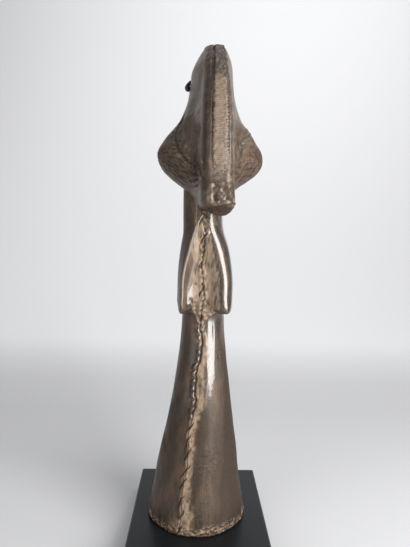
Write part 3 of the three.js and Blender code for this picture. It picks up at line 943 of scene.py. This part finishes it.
def head_marks(points, sizes):
    """Relief and marks of the head's casing."""
    x, y, z = points[..., 0], points[..., 1], points[..., 2]
    wrinkle = sizes.wrinkles / MM
    front = 1 - smooth_step(y, CREST_CENTRE - 4, CREST_CENTRE)
    relief = sizes.unevenness / MM * ripples(points, 22, 31)

    inside = -crest_outline(y, z)
    off_slab = smooth_step(inside, 4, 12) * (1 - smooth_step(y, -13, -9))
    signed, along = beside_path(x, z, LEFT_LOBE_SEAM)
    sewn = front * (1 - smooth_step(z, 226, 235))
    rise, grime_and_shade, seam_wear = lobe_seam_marks(signed, along, sewn)
    inner = -signed
    hollow = smooth_step(inner, 0, 3.2) * (1 - smooth_step(inner, 9, 13)) * sewn * off_slab
    relief = relief + rise - 1.5 * hollow
    web_left = hollow

    signed = beside_path(x, z, RIGHT_LOBE_EDGE)[0]
    web_right = smooth_step(signed, -1, 4) * (1 - smooth_step(signed, 10, 15)) * front
    web_right = web_right * (1 - smooth_step(z, 222, 234)) * (x > HEAD_SHIFT) * off_slab
    relief = relief - 1.0 * web_right

    folds = ripples(slanted(points, 0.6), 2.6, 34, stretch=(3.0, 5.0, 1))
    relief = relief + (0.18 * web_left + 0.34 * web_right) * folds
    # Painted shade in the troughs of the right lobe's folds
    grime_and_shade = np.maximum(grime_and_shade, web_right * 0.45 * smooth_step(-folds, 0, 1))

    streaks_left = ripples(slanted(points, -0.5), 1.6, 36, stretch=(7, 1, 1))
    streaks_right = ripples(slanted(points, 0.5), 1.6, 37, stretch=(7, 1, 1))
    streaks = np.where(x < HEAD_SHIFT, streaks_left, streaks_right)
    cheek = (1 - smooth_step(z, 212, 217)) * (1 - np.maximum(web_left, web_right))
    cheek = cheek * smooth_step(np.abs(x - HEAD_SHIFT), 7, 12)
    worn_and_lit = cheek * (0.02 + 0.44 * smooth_step(streaks, -0.2, 1.2))
    worn_and_lit = np.maximum(worn_and_lit, 0.75 * seam_wear)
    relief = relief + 0.10 * cheek * streaks

    across = x - STRIP_SHIFT
    half = strip_half_width(z)
    edge_left = -across - half
    valley = bell(edge_left - 1.1, 2.2) * (1 - smooth_step(inside, 3.0, 5.5)) * front
    bead = bell(edge_left - 4.4, 1.4) * (1 - smooth_step(inside, 9, 14)) * front
    blotches = ripples(points, 4.5, 39, stretch=(1, 1, 1.6)) + 0.5 * ripples(points, 1.8, 40)
    relief = relief - 0.15 * valley + 0.06 * bead + 0.08 * (valley + bead) * blotches
    # The valley left of the strip is darkened as painted shade in the groove
    grime_and_shade = np.maximum(grime_and_shade, (0.76 + 0.22 * blotches) * valley * smooth_step(z, 184, 190))
    # The rolled edge left of the valley is painted lighter tan as the light it catches
    worn_and_lit = np.maximum(worn_and_lit, 0.72 * bead)
    beside = bell(across - half - 0.3, 0.7) * (1 - smooth_step(inside, 2, 4)) * front
    grime_and_shade = np.maximum(grime_and_shade, (0.55 + 0.3 * blotches) * beside * smooth_step(z, 188, 194))
    # The bevel right of the strip is painted lighter tan as lit
    band = smooth_step(across - half, 0.8, 1.6) * (1 - smooth_step(inside, 5, 8)) * front
    worn_and_lit = np.maximum(worn_and_lit, band * (0.45 + 0.25 * blotches))

    knob = smooth_step(x, 0.2, 2.6) * (1 - smooth_step(x, 10.6, 12.2)) * (1 - smooth_step(y, -48, -46))
    knob = knob * smooth_step(z, 180.8, 183) * (1 - smooth_step(z, 189, 192))
    knots = 1 - 2 * np.abs(ripples(slanted(points, -0.6), 4.2, 32, stretch=(1.8, 1, 1)))
    knots = knots + 0.5 * ripples(points, 1.6, 33)
    relief = relief + knob * (0.15 + 1.5 * wrinkle * knots)
    worn_and_lit = np.maximum(worn_and_lit, 0.4 * knob * smooth_step(knots, 0.5, 1.3))
    # The knob is dark reddish, and darker in the troughs between its knots as painted shade
    grime_and_shade = np.maximum(grime_and_shade, knob * (0.88 - 0.50 * smooth_step(knots, 0.3, 1.2)))
    grime_and_shade = np.maximum(grime_and_shade, knob * smooth_step(-knots, -0.5, 0.5))
    neck = bell(z - 192, 4.5) * smooth_step(x, -2, 0) * (1 - smooth_step(inside, 2, 5)) * front
    grime_and_shade = np.maximum(grime_and_shade, neck * (0.50 + 0.45 * blotches))
    worn_and_lit = np.maximum(worn_and_lit, 0.50 * neck)
    ledge = bell(z - 180.8 - 0.15 * (x - 6), 0.5) * front * smooth_step(x, -2, 1)
    relief = relief - 0.5 * ledge
    # Painted shade in the crease of the ledge
    grime_and_shade = np.maximum(grime_and_shade, 0.8 * ledge)
    chin = (1 - smooth_step(z, 179.5, 181)) * front
    worn_and_lit = np.maximum(worn_and_lit * (1 - chin), chin * 0.2)
    rumple = ripples(points, 3.0, 38)
    relief = relief + chin * 0.25 * rumple
    # The downward-facing underside of the crest's end is painted dark as shade
    grime_and_shade = np.maximum(grime_and_shade, chin * (0.60 + 0.3 * smooth_step(-rumple, 0, 1)))

    recess = bell(z - 199, 9) * bell(x + 5.8, 3.2) * front * smooth_step(y, -50, -44)
    rungs = np.sin(z * 2 * math.pi / 3.1 + 1.2 * ripples(points, 9, 35))
    relief = relief + recess * 0.5 * rungs
    # Painted shadow in the recess between the crest's lower end and the left lobe
    grime_and_shade = np.maximum(grime_and_shade, recess * (0.75 + 0.25 * smooth_step(-rungs, -0.3, 0.8)))
    polish = 0.22 * (1 - valley) * (1 - knob) + 1.0 * knob * smooth_step(knots, 0.2, 0.9)
    # The cheeks are dark between their tan streaks: partly the leather's colour, partly painted shade on the
    # cheeks, which face down
    grime_and_shade = np.maximum(grime_and_shade, 0.82 * cheek * smooth_step(-streaks, -0.6, 0.8))
    ruddy = np.maximum(cheek * (1.0 + 0.4 * streaks), np.maximum(chin, knob))
    return relief, {
        "grime_and_shade": np.clip(grime_and_shade, 0, 1), "worn_and_lit": np.clip(worn_and_lit, 0, 1), "polish": polish, "ruddy": ruddy,
    }


def arc_point(turn, out):
    """Point over the crest's front edge in the side view: turn from the front, distance out of it."""
    y = CREST_CENTRE - (CREST_FRONT + out) * np.cos(turn)
    z = CREST_BASE + (CREST_RISE + out) * np.sin(turn)
    return y, z


def strip_surface(sizes):
    """Strip over the crest's front edge: a flat band with rounded edges, thinner towards its left one,
    carried along the half-disc, with fine wrinkles across it and its lower end under the casing."""
    rows, columns = 330, 72
    thickness = sizes.strip_thickness / MM
    turn = np.linspace(-0.035, STRIP_TOP_TURN, rows)[:, None]
    angle = np.linspace(0, 2 * math.pi, columns, endpoint=False)
    centre_y, centre_z = arc_point(turn, 0)
    width = strip_half_width(centre_z)
    across = np.sign(np.cos(angle)) * np.abs(np.cos(angle)) ** 0.55
    through = np.sign(np.sin(angle)) * np.abs(np.sin(angle)) ** 0.8
    low, high = -0.9, TOUCH_GAP + thickness
    out = (low + high) / 2 + (high - low) / 2 * through
    along = turn * (CREST_FRONT + CREST_RISE) / 2
    edge = 0.12 * np.sin(along * 1.9) + 0.10 * np.sin(along * 0.77 + 1)
    x = STRIP_SHIFT + across * (width + edge)
    flat = np.stack(np.broadcast_arrays(x * 3, along * 2.2 * np.ones_like(x), along + 0 * x), axis=-1)
    wrinkles = np.sin(along * 2 * math.pi / 0.95 + 2.2 * ripples(flat, 9, 41)) * 0.6
    wrinkles = wrinkles + ripples(flat * np.array([0.5, 1, 1]), 2.4, 42)
    top = smooth_step(through, 0.2, 0.8)
    out = out + top * (0.13 * wrinkles - 0.05 - 0.15 * bell(np.abs(across) - 0.8, 0.12))
    gathers = bell(along, 4) * ripples(flat, 4.5, 44)
    out = out + top * (0.35 * gathers - 1.5 * smooth_step(-across, 0.55, 1.0))
    out = out - 1.9 * (1 - smooth_step(along + 1.5 * gathers, -3, 12))
    y, z = arc_point(turn, out)
    points = np.stack(np.broadcast_arrays(x, y, z), axis=-1)
    # Painted shade in the troughs of the wrinkles
    grime_and_shade = 0.60 * smooth_step(-wrinkles, 0.1, 1.3) * top
    frayed = np.abs(across) + 0.16 * ripples(flat, 4.2, 45) + 0.10 * ripples(flat, 1.8, 47)
    frayed = frayed + 0.18 * ripples(flat, 16, 49) + 0.10 * smooth_step(-across, 0, 0.6)
    grime_and_shade = np.maximum(grime_and_shade, 0.78 * smooth_step(frayed, 0.55, 1.05))
    dark_top = smooth_step(centre_z + 2.5 * ripples(flat, 5, 46), 235, 248)
    grime_and_shade = np.maximum(grime_and_shade, dark_top * (0.82 + 0.30 * ripples(flat, 6, 43)))
    end = smooth_step(5 * ripples(flat, 5, 48) - along, -12, -1)
    grime_and_shade = np.maximum(grime_and_shade, 0.62 * end)
    return points, {"grime_and_shade": np.clip(grime_and_shade, 0, 1)}


def stitches_surface(middles, ways, outs, length, radius):
    """Stitches as short round rods with tapering ends, one for each middle: rings of six points around
    the stitch's way, arched so that its ends dive into the leather."""
    sides = np.cross(ways, outs)
    run = np.linspace(-1, 1, 6)
    angle = np.linspace(0, 2 * math.pi, 6, endpoint=False)
    thin = np.sqrt(1 - 0.92 * run ** 2)[:, None]
    along = (run * length / 2)[:, None] * np.ones(6)
    up = radius * thin * np.sin(angle) - (0.9 * radius * run ** 2)[:, None]
    side = radius * thin * np.cos(angle)
    points = (
        middles[:, None, None]
        + along[..., None] * ways[:, None, None]
        + up[..., None] * outs[:, None, None]
        + side[..., None] * sides[:, None, None]
    )
    count = len(middles)
    number = np.arange(36).reshape(6, 6)
    beside = np.roll(number, -1, axis=1)
    quads = np.stack([number[:-1], number[1:], beside[1:], beside[:-1]], axis=-1).reshape(-1, 4)
    ends = np.stack([
        np.stack([np.zeros(4, int), np.arange(1, 5), np.arange(2, 6)], axis=-1),
        np.stack([np.full(4, 30), np.arange(32, 36), np.arange(31, 35)], axis=-1),
    ]).reshape(-1, 3)
    first = np.arange(count)[:, None, None] * 36
    return points.reshape(-1, 3), (quads + first).reshape(-1, 4), (ends + first).reshape(-1, 3)


def unit(vectors):
    return vectors / np.linalg.norm(vectors, axis=-1, keepdims=True)


def strip_stitches():
    """Middles, ways and outward directions of the stitches along the right edge of the strip."""
    pitch = 1.35
    arc = STRIP_TOP_TURN * (CREST_FRONT + CREST_RISE) / 2
    turn = np.arange(0.17, STRIP_TOP_TURN, STRIP_TOP_TURN * pitch / arc)
    side = np.ones_like(turn)
    height = arc_point(turn, 0)[1]
    width = strip_half_width(height)
    y, z = arc_point(turn, 1.15)
    middles = np.stack([STRIP_SHIFT + side * (width - 0.35), y, z], axis=-1)
    out = unit(np.stack([side * 0.5, -np.cos(turn), np.sin(turn)], axis=-1))
    lengthwise = np.stack([0 * turn, np.sin(turn), np.cos(turn)], axis=-1)
    ways = unit(lengthwise * 0.55 + np.stack([side, 0 * turn, 0 * turn], axis=-1) * 0.8)
    ways = unit(ways - out * (ways * out).sum(axis=-1, keepdims=True))
    return middles, ways, out


def lobe_stitches(path, count):
    """Middles, ways and outward directions of the stitches along a lobe's seam: points of the path are
    dropped from the front onto the head, and the outward direction is the field's rise there."""
    path = np.array(path, float)
    lengths = np.concatenate([[0], np.cumsum(np.linalg.norm(np.diff(path, axis=0), axis=1))])
    wanted = np.linspace(1.5, lengths[-1] - 3, count)
    x, z = np.interp(wanted, lengths, path[:, 0]), np.interp(wanted, lengths, path[:, 1])
    ahead = wanted + 0.5
    along = np.stack([
        np.interp(ahead, lengths, path[:, 0]) - x, 0 * x, np.interp(ahead, lengths, path[:, 1]) - z,
    ], axis=-1)
    start = np.stack([x, np.full_like(x, 20.0), z], axis=-1)
    rays = np.broadcast_to(np.array([0.0, -1.0, 0.0]), start.shape)
    middles = start + rays * reach_along(head_field, start, rays, 15, 76, samples=120)[..., None]
    step = 0.4
    here = middles.T
    out = unit(np.stack([
        head_field(*(here + step * axis[:, None])) - head_field(*(here - step * axis[:, None]))
        for axis in np.eye(3)
    ], axis=-1))
    along = unit(along - out * (along * out).sum(axis=-1, keepdims=True))
    across = np.cross(out, along)
    ways = unit(along * 0.75 + across)
    return middles - out * 0.25, ways, out


def tube_surface(route, radii, around=14):
    """A round profile carried along a route: rings across the way to the next point."""
    ways = unit(np.gradient(route, axis=0))
    side = unit(np.cross(ways, np.array([0.0, 1.0, 0.2])))
    other = np.cross(ways, side)
    angle = np.linspace(0, 2 * math.pi, around, endpoint=False)[None, :, None]
    ring = np.cos(angle) * side[:, None] + np.sin(angle) * other[:, None]
    return route[:, None] + ring * np.asarray(radii, float)[:, None, None]


def smooth_route(points, count):
    """Smooth curve through a few points, evenly spread over them."""
    stations = [(k, *point) for k, point in enumerate(points)]
    return np.stack(station_curve(stations)(np.linspace(0, len(points) - 1, count)), axis=-1)


class Value:
    """A number that varies over a surface. Arithmetic on it adds Math nodes."""

    def __init__(self, finish, socket):
        self.finish = finish
        self.socket = socket

    def math(self, operation, *values):
        return self.finish.node("ShaderNodeMath", {"operation": operation}, dict(enumerate(values)))

    def __add__(self, other):
        return self.math("ADD", self, other)

    __radd__ = __add__

    def __mul__(self, other):
        return self.math("MULTIPLY", self, other)

    __rmul__ = __mul__

    def __sub__(self, other):
        return self.math("SUBTRACT", self, other)

    def __rsub__(self, other):
        return self.math("SUBTRACT", other, self)

    def above(self, low, high):
        """0 below low, 1 above high."""
        return self.finish.node(
            "ShaderNodeMapRange", {"interpolation_type": "SMOOTHSTEP"},
            {"Value": self, "From Min": low, "From Max": high},
        )


class Finish:
    """One material: its node tree and the shader at its end."""

    def __init__(self, name):
        self.material = bpy.data.materials.new(name)
        self.material.use_nodes = True
        self.tree = self.material.node_tree
        self.tree.nodes.clear()
        self.shader = self.tree.nodes.new("ShaderNodeBsdfPrincipled")
        output = self.tree.nodes.new("ShaderNodeOutputMaterial")
        self.tree.links.new(self.shader.outputs["BSDF"], output.inputs["Surface"])

    def connect(self, socket, value):
        if isinstance(value, Value):
            self.tree.links.new(value.socket, socket)
        elif hasattr(value, "__len__") and len(value) == 3 and socket.type == "RGBA":
            socket.default_value = (*value, 1)
        else:
            socket.default_value = value

    def node(self, kind, settings=None, sockets=None, output=0):
        """Adds a node: its settings first, then the values or links of its sockets."""
        node = self.tree.nodes.new(kind)
        for name, setting in (settings or {}).items():
            if name == "stops":
                for element, (place, colour) in zip(node.color_ramp.elements, setting):
                    element.position = place
                    element.color = (*colour, 1)
            else:
                setattr(node, name, setting)
        for name, value in (sockets or {}).items():
            self.connect(node.inputs[name], value)
        return Value(self, node.outputs[output])

    def place(self, stretch=(1, 1, 1)):
        """Object coordinates, squeezed so that a pattern is stretched along an axis."""
        coordinates = self.node("ShaderNodeTexCoord", output="Object")
        scale = tuple(1 / value for value in stretch)
        return self.node("ShaderNodeMapping", None, {"Vector": coordinates, "Scale": scale})

    def noise(self, size, stretch=(1, 1, 1), detail=3, roughness=0.55):
        """Cloudy value around 0.5 with patches of a size in metres."""
        return self.node("ShaderNodeTexNoise", None, {
            "Vector": self.place(stretch), "Scale": 1 / size, "Detail": detail, "Roughness": roughness,
        })

    def mark(self, name):
        return self.node("ShaderNodeAttribute", {"attribute_name": name}, output="Fac")

    def blend(self, factor, first, second, blend_type="MIX"):
        """Colour between two colours."""
        node = self.tree.nodes.new("ShaderNodeMix")
        node.data_type = "RGBA"
        node.blend_type = blend_type
        self.connect(node.inputs[0], factor)
        self.connect(node.inputs[6], first)
        self.connect(node.inputs[7], second)
        return Value(self, node.outputs[2])

    def bump(self, height, distance, strength=1.0, under=None):
        sockets = {"Height": height, "Distance": distance, "Strength": strength}
        if under is not None:
            sockets["Normal"] = under
        return self.node("ShaderNodeBump", None, sockets)

    def finish(self, **sockets):
        for name, value in sockets.items():
            self.connect(self.shader.inputs[name.replace("_", " ")], value)
        return self.material


def leather_finish(name, colours, base, grain_length):
    """Brown leather with upright streaks, rubbed tan where worn and where painted light falls on lit edges,
    and dark where dirt sits and where painted shade falls in creases, recesses and under edges. Its polish
    is a clear coat over a metallic share, which tints the softer reflections brown."""
    f = Finish(name)
    streaks = f.noise(0.0024, stretch=(1, 1, grain_length), detail=5, roughness=0.62)
    clouds = f.noise(0.009, stretch=(1, 1, 2.2), detail=4, roughness=0.6)
    fine = f.noise(0.0008, stretch=(1, 1, 2), detail=5, roughness=0.75)
    mottle = f.noise(0.0015, stretch=(1, 1, 1.7), detail=4, roughness=0.8).above(0.40, 0.60)
    tone = (streaks * 0.4 + clouds * 0.4 + fine * 0.2).above(0.41, 0.60) * 0.45 + mottle * 0.55
    skin = f.blend(tone, colours.leather_dark, base)
    ruddy = f.noise(0.0045, stretch=(1, 1, 4), detail=5) + f.mark("ruddy") * 0.16
    skin = f.blend(ruddy.above(0.48, 0.66) * 0.6, skin, colours.ruddy)
    patch = f.noise(0.0022, stretch=(1, 1, 3), detail=6, roughness=0.68)
    # Tan where worn, and where light is painted on lit edges
    worn_and_lit_share = (f.mark("worn_and_lit") + (patch - 0.5) * 1.1).above(0.34, 0.90)
    tan_tone = (streaks * 0.4 + patch * 0.4 + fine * 0.2).above(0.40, 0.60) * 0.6 + mottle * 0.4
    tan = f.blend(tan_tone, tuple(c * 0.36 for c in colours.worn_and_lit), colours.worn_and_lit)
    skin = f.blend(worn_and_lit_share, skin, tan)
    # Dark where dirty, and where shade is painted in creases, recesses and under edges
    grime_and_shade_share = f.mark("grime_and_shade").above(0.1, 0.9)
    skin = f.blend(grime_and_shade_share, skin, colours.grime_and_shade)
    polish = f.mark("polish") * (1 - worn_and_lit_share * 0.6) * (1 - grime_and_shade_share)
    rough = 0.32 + mottle * 0.14 - polish * 0.2 + grime_and_shade_share * 0.2 + worn_and_lit_share * 0.12
    grain = f.node("ShaderNodeTexVoronoi", {"feature": "DISTANCE_TO_EDGE"}, {
        "Vector": f.place(), "Scale": 1 / 0.0010,
    }).above(0.0, 0.14)
    normal = f.bump(streaks * 0.6 + fine * 0.7, 0.00016)
    normal = f.bump(grain + fine * 0.6, 0.00005, 0.7, normal)
    return f.finish(
        Base_Color=skin, Roughness=rough, Metallic=0.12, Normal=normal,
        Specular_IOR_Level=0.45, Specular_Tint=(1, 0.87, 0.74),
        Coat_Weight=polish * 0.85, Coat_Roughness=0.1, Coat_IOR=1.62,
    )


def strip_finish(colours):
    """Dry tan leather with fine wrinkles, with painted shade in its creases and darker blotches along its edges."""
    f = Finish("tan_strip_leather")
    patch = f.noise(0.0030, detail=5, roughness=0.65)
    fine = f.noise(0.0006, stretch=(2.5, 1, 1), detail=4, roughness=0.7)
    base = f.blend(patch.above(0.3, 0.7), tuple(c * 0.6 for c in colours.strip), colours.strip)
    base = f.blend(fine.above(0.42, 0.72) * 0.35, base, tuple(c * 1.7 for c in colours.strip))
    # Dark leather where the mark is high: painted shade in the wrinkle troughs, and darker edges, top and lower end
    base = f.blend(f.mark("grime_and_shade").above(0.1, 1.0), base, colours.leather_dark)
    normal = f.bump(fine, 0.00014)
    rough = 0.46 + fine * 0.24
    return f.finish(Base_Color=base, Roughness=rough, Normal=normal, Specular_IOR_Level=0.5)


def thread_finish(name, colour):
    """Leather lace: a little lighter where it is rubbed."""
    f = Finish(name)
    fine = f.noise(0.0007, detail=4)
    base = f.blend(fine.above(0.4, 0.7), tuple(colour), tuple(min(1, c * 2.2 + 0.004) for c in colour))
    return f.finish(Base_Color=base, Roughness=0.32 + fine * 0.25, Normal=f.bump(fine, 0.00015))


def plate_finish(colours):
    """Black lacquer, faintly dusty and scuffed."""
    f = Finish("black_plate_lacquer")
    dust = f.noise(0.0011, detail=5, roughness=0.75)
    smear = f.noise(0.022, stretch=(2, 1, 1), detail=3)
    specks = dust.above(0.66, 0.78) * 0.5
    base = f.blend(specks * 0.25, colours.plate, (0.12, 0.12, 0.12))
    rough = 0.24 + smear * 0.12 + dust * 0.06
    return f.finish(Base_Color=base, Roughness=rough, Normal=f.bump(dust, 0.00002),
                    Specular_IOR_Level=0.2)


def floor_finish(colours):
    """Matt pale sweep, darker at the floor than up the wall."""
    f = Finish("pale_floor")
    height = f.node("ShaderNodeSeparateXYZ", None, {
        "Vector": f.node("ShaderNodeTexCoord", output="Object"),
    }, output="Z")
    base = f.blend(height.above(-0.008, 0.024), tuple(c * 0.62 for c in colours.floor), colours.floor)
    return f.finish(Base_Color=base, Roughness=0.85)


def finishes():
    """Materials by name, made on first use."""
    colours = bpy.context.scene.doll_colours
    makers = {
        "polished_casing_leather": lambda: leather_finish(
            "polished_casing_leather", colours, colours.leather, 8,
        ),
        "dry_casing_leather": lambda: leather_finish(
            "dry_casing_leather", colours, colours.head_leather, 2,
        ),
        "tan_strip_leather": lambda: strip_finish(colours),
        "black_thong_leather": lambda: thread_finish("black_thong_leather", colours.thong),
        "tan_lace_leather": lambda: thread_finish("tan_lace_leather", [c * 0.8 for c in colours.worn_and_lit]),
        "black_plate_lacquer": lambda: plate_finish(colours),
        "pale_floor": lambda: floor_finish(colours),
    }
    return makers


def finish_named(name):
    return bpy.data.materials.get(name) or finishes()[name]()


def add_grid_piece(name, surface, slot, finish, *nodes):
    """Piece of a closed ring grid with its marks."""
    points, marks = surface
    marks = {mark: with_end_values(values) for mark, values in marks.items()}
    piece = make_piece(name, *closed_grid(points), marks)
    return dress(piece, slot, finish_named(finish), *nodes)


class DOLL_OT_skirt(bpy.types.Operator):
    """Casing of the flared body, from the rim at the foot to under the bodice"""

    bl_idname = "doll.skirt"
    bl_label = "Skirt casing"

    def execute(self, context):
        surface = skirt_surface(context.scene.doll_sizes)
        add_grid_piece("casing_skirt", surface, "casing_leather", "polished_casing_leather", "doll")
        return {"FINISHED"}


class DOLL_OT_bodice(bpy.types.Operator):
    """Casing of the neck, the chest and the long breasts"""

    bl_idname = "doll.bodice"
    bl_label = "Bodice casing"

    def execute(self, context):
        surface = bodice_surface(context.scene.doll_sizes)
        add_grid_piece("casing_bodice", surface, "casing_leather", "polished_casing_leather", "doll")
        return {"FINISHED"}


class DOLL_OT_head(bpy.types.Operator):
    """Casing of the head: crest, side lobes, underside and the wrapped front end"""

    bl_idname = "doll.head"
    bl_label = "Head casing"

    def execute(self, context):
        surface = head_surface(context.scene.doll_sizes)
        add_grid_piece("casing_head", surface, "casing_leather", "dry_casing_leather", "doll")
        return {"FINISHED"}


class DOLL_OT_strip(bpy.types.Operator):
    """Tan strip over the front edge of the crest"""

    bl_idname = "doll.strip"
    bl_label = "Crest strip"

    def execute(self, context):
        surface = strip_surface(context.scene.doll_sizes)
        add_grid_piece("sewn_strip", surface, "strip_leather", "tan_strip_leather", "crest_strip")
        return {"FINISHED"}


class DOLL_OT_stitches(bpy.types.Operator):
    """Stitches along the strip and along the seam of the left side lobe"""

    bl_idname = "doll.stitches"
    bl_label = "Stitches"

    def execute(self, context):
        sizes = context.scene.doll_sizes
        rows = strip_stitches()
        piece = make_piece("strip_stitches", *stitches_surface(*rows, 1.1, 0.20))
        dress(piece, "strip_leather", finish_named("black_thong_leather"))
        if sizes.lobe_stitches:
            rows = lobe_stitches(LEFT_LOBE_SEAM, sizes.lobe_stitches)
            piece = make_piece("lobe_stitches", *stitches_surface(*rows, 2.5, 0.42))
            dress(piece, "casing_leather", finish_named("tan_lace_leather"))
        return {"FINISHED"}


class DOLL_OT_thong(bpy.types.Operator):
    """Knotted end of a black thong at the left of the crest"""

    bl_idname = "doll.thong"
    bl_label = "Thong"

    def execute(self, context):
        side = HEAD_SHIFT - float(roof_at(np.array([THONG_HEIGHT]))[0][0])
        route = smooth_route([
            (side + 1.6, CREST_CENTRE, THONG_HEIGHT + 1.2),
            (side + 0.2, CREST_CENTRE - 0.2, THONG_HEIGHT + 0.4),
            (side - 1.0, CREST_CENTRE - 0.5, THONG_HEIGHT - 1.0),
            (side - 1.9, CREST_CENTRE - 0.6, THONG_HEIGHT - 2.9),
            (side - 1.3, CREST_CENTRE - 0.6, THONG_HEIGHT - 4.0),
            (side - 0.4, CREST_CENTRE - 0.3, THONG_HEIGHT - 3.0),
            (side + 0.4, CREST_CENTRE, THONG_HEIGHT - 4.2),
            (side + 0.4, CREST_CENTRE, THONG_HEIGHT - 6.0),
        ], 64)
        share = np.linspace(0, 1, 64)
        radii = 0.85 + 0.40 * bell(share - 0.48, 0.2) - 0.35 * smooth_step(share, 0.88, 1.0)
        points = tube_surface(route, radii)
        piece = make_piece("knotted_thong", *closed_grid(points))
        dress(piece, "thong_leather", finish_named("black_thong_leather"), "crest_thong")
        return {"FINISHED"}


class DOLL_OT_plate(bpy.types.Operator):
    """Black lacquer on the plate, whose shape comes from the frame"""

    bl_idname = "doll.plate"
    bl_label = "Plate finish"

    def execute(self, context):
        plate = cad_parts["stand_plate"]
        for slot in plate.material_slots:
            slot.material = finish_named("black_plate_lacquer")
        return {"FINISHED"}


def add_light(name, place, aim, width, height, power, tint=(1, 1, 1)):
    """Soft rectangular light that shines towards a point, not seen by the camera itself."""
    light = bpy.data.lights.new(name, "AREA")
    light.shape = "RECTANGLE"
    light.size = width
    light.size_y = height
    light.energy = power
    light.color = tint
    lamp = bpy.data.objects.new(name, light)
    lamp.location = place
    lamp.rotation_euler = (Vector(aim) - Vector(place)).to_track_quat("-Z", "Y").to_euler()
    lamp.visible_camera = False
    bpy.context.scene.collection.objects.link(lamp)


def add_backdrop(colours):
    """Floor that sweeps up behind the doll: a flat line, a quarter circle and an upright line carried
    sideways."""
    radius, front, back, top = 1.3, -0.7, 0.2, 2.6
    turn = np.linspace(0, math.pi / 2, 24)
    y = np.concatenate([[front], back + radius * np.sin(turn), [back + radius]])
    z = np.concatenate([[0], radius * (1 - np.cos(turn)), [top]])
    share = np.array([[-1.0], [0.0], [1.0]])
    points = np.stack([
        share * (0.45 + 0.28 * (y - front)),
        np.broadcast_to(y, (3, len(y))),
        np.broadcast_to(z, (3, len(y))),
    ], axis=-1).reshape(-1, 3)
    number = np.arange(len(points)).reshape(3, len(y))
    quads = np.stack([number[:-1, :-1], number[1:, :-1], number[1:, 1:], number[:-1, 1:]], axis=-1)
    mesh = bpy.data.meshes.new("floor")
    mesh.from_pydata(points.tolist(), [], quads.reshape(-1, 4).tolist())
    mesh.polygons.foreach_set("use_smooth", np.ones(len(mesh.polygons), bool))
    floor = bpy.data.objects.new("floor", mesh)
    bpy.context.scene.collection.objects.link(floor)
    mesh.materials.append(finish_named("pale_floor"))


def add_camera():
    """Camera of the photograph: a place, then yaw, pitch and roll about its line of sight."""
    ahead = Vector((
        -math.sin(CAMERA_YAW) * math.cos(CAMERA_PITCH),
        math.cos(CAMERA_YAW) * math.cos(CAMERA_PITCH),
        -math.sin(CAMERA_PITCH),
    ))
    right = Vector((math.cos(CAMERA_YAW), math.sin(CAMERA_YAW), 0))
    up = right.cross(ahead)
    rolled_right = right * math.cos(CAMERA_ROLL) + up * math.sin(CAMERA_ROLL)
    rolled_up = up * math.cos(CAMERA_ROLL) - right * math.sin(CAMERA_ROLL)
    lens = bpy.data.cameras.new("photo_camera")
    lens.sensor_width = SENSOR
    lens.lens = SENSOR * CAMERA_FOCUS / PHOTO_HEIGHT
    lens.clip_start = 0.01
    camera = bpy.data.objects.new("photo_camera", lens)
    turn = Matrix((rolled_right, rolled_up, -ahead)).transposed().to_4x4()
    camera.matrix_world = Matrix.Translation(Vector(CAMERA_PLACE) * MM) @ turn
    bpy.context.scene.collection.objects.link(camera)
    bpy.context.scene.camera = camera


class DOLL_OT_stage(bpy.types.Operator):
    """Pale floor, soft lights and the photograph's camera"""

    bl_idname = "doll.stage"
    bl_label = "Stage"

    def execute(self, context):
        scene = context.scene
        add_backdrop(scene.doll_colours)
        add_light("key_right", (0.31, -0.33, 0.29), (0, 0, 0.28), 0.33, 0.56, 7.3)
        add_light("fill_left", (-0.57, -0.57, 0.30), (0, 0, 0.18), 0.50, 0.90, 4.2)
        add_light("back_wash", (0.3, 0.5, 1.5), (0.1, 1.5, 0.35), 1.8, 0.6, 19.0)
        world = bpy.data.worlds.new("soft_room")
        world.use_nodes = True
        background = world.node_tree.nodes["Background"]
        background.inputs["Color"].default_value = (0.93, 0.95, 1.0, 1)
        background.inputs["Strength"].default_value = 0.25
        scene.world = world
        scene.view_settings.view_transform = "Standard"
        add_camera()
        return {"FINISHED"}


class DOLL_PT_panel(bpy.types.Panel):
    """Pieces of the doll in the order in which they are made"""

    bl_idname = "DOLL_PT_panel"
    bl_label = "Leather-cased doll"
    bl_space_type = "VIEW_3D"
    bl_region_type = "UI"
    bl_category = "Doll"

    def draw(self, context):
        for operator in OPERATORS:
            self.layout.operator(operator.bl_idname)
        for group in (context.scene.doll_sizes, context.scene.doll_colours):
            for name in group.__annotations__:
                self.layout.prop(group, name)


OPERATORS = (
    DOLL_OT_skirt,
    DOLL_OT_bodice,
    DOLL_OT_head,
    DOLL_OT_strip,
    DOLL_OT_stitches,
    DOLL_OT_thong,
    DOLL_OT_plate,
    DOLL_OT_stage,
)
CLASSES = (DollSizes, DollColours, *OPERATORS, DOLL_PT_panel)


def register():
    for cls in CLASSES:
        bpy.utils.register_class(cls)
    bpy.types.Scene.doll_sizes = PointerProperty(type=DollSizes)
    bpy.types.Scene.doll_colours = PointerProperty(type=DollColours)


def unregister():
    del bpy.types.Scene.doll_colours
    del bpy.types.Scene.doll_sizes
    for cls in reversed(CLASSES):
        bpy.utils.unregister_class(cls)


def main():
    register()
    bpy.ops.doll.skirt()
    bpy.ops.doll.bodice()
    bpy.ops.doll.head()
    bpy.ops.doll.strip()
    bpy.ops.doll.stitches()
    bpy.ops.doll.thong()
    bpy.ops.doll.plate()
    bpy.ops.doll.stage()


if __name__ == "__main__":
    main()
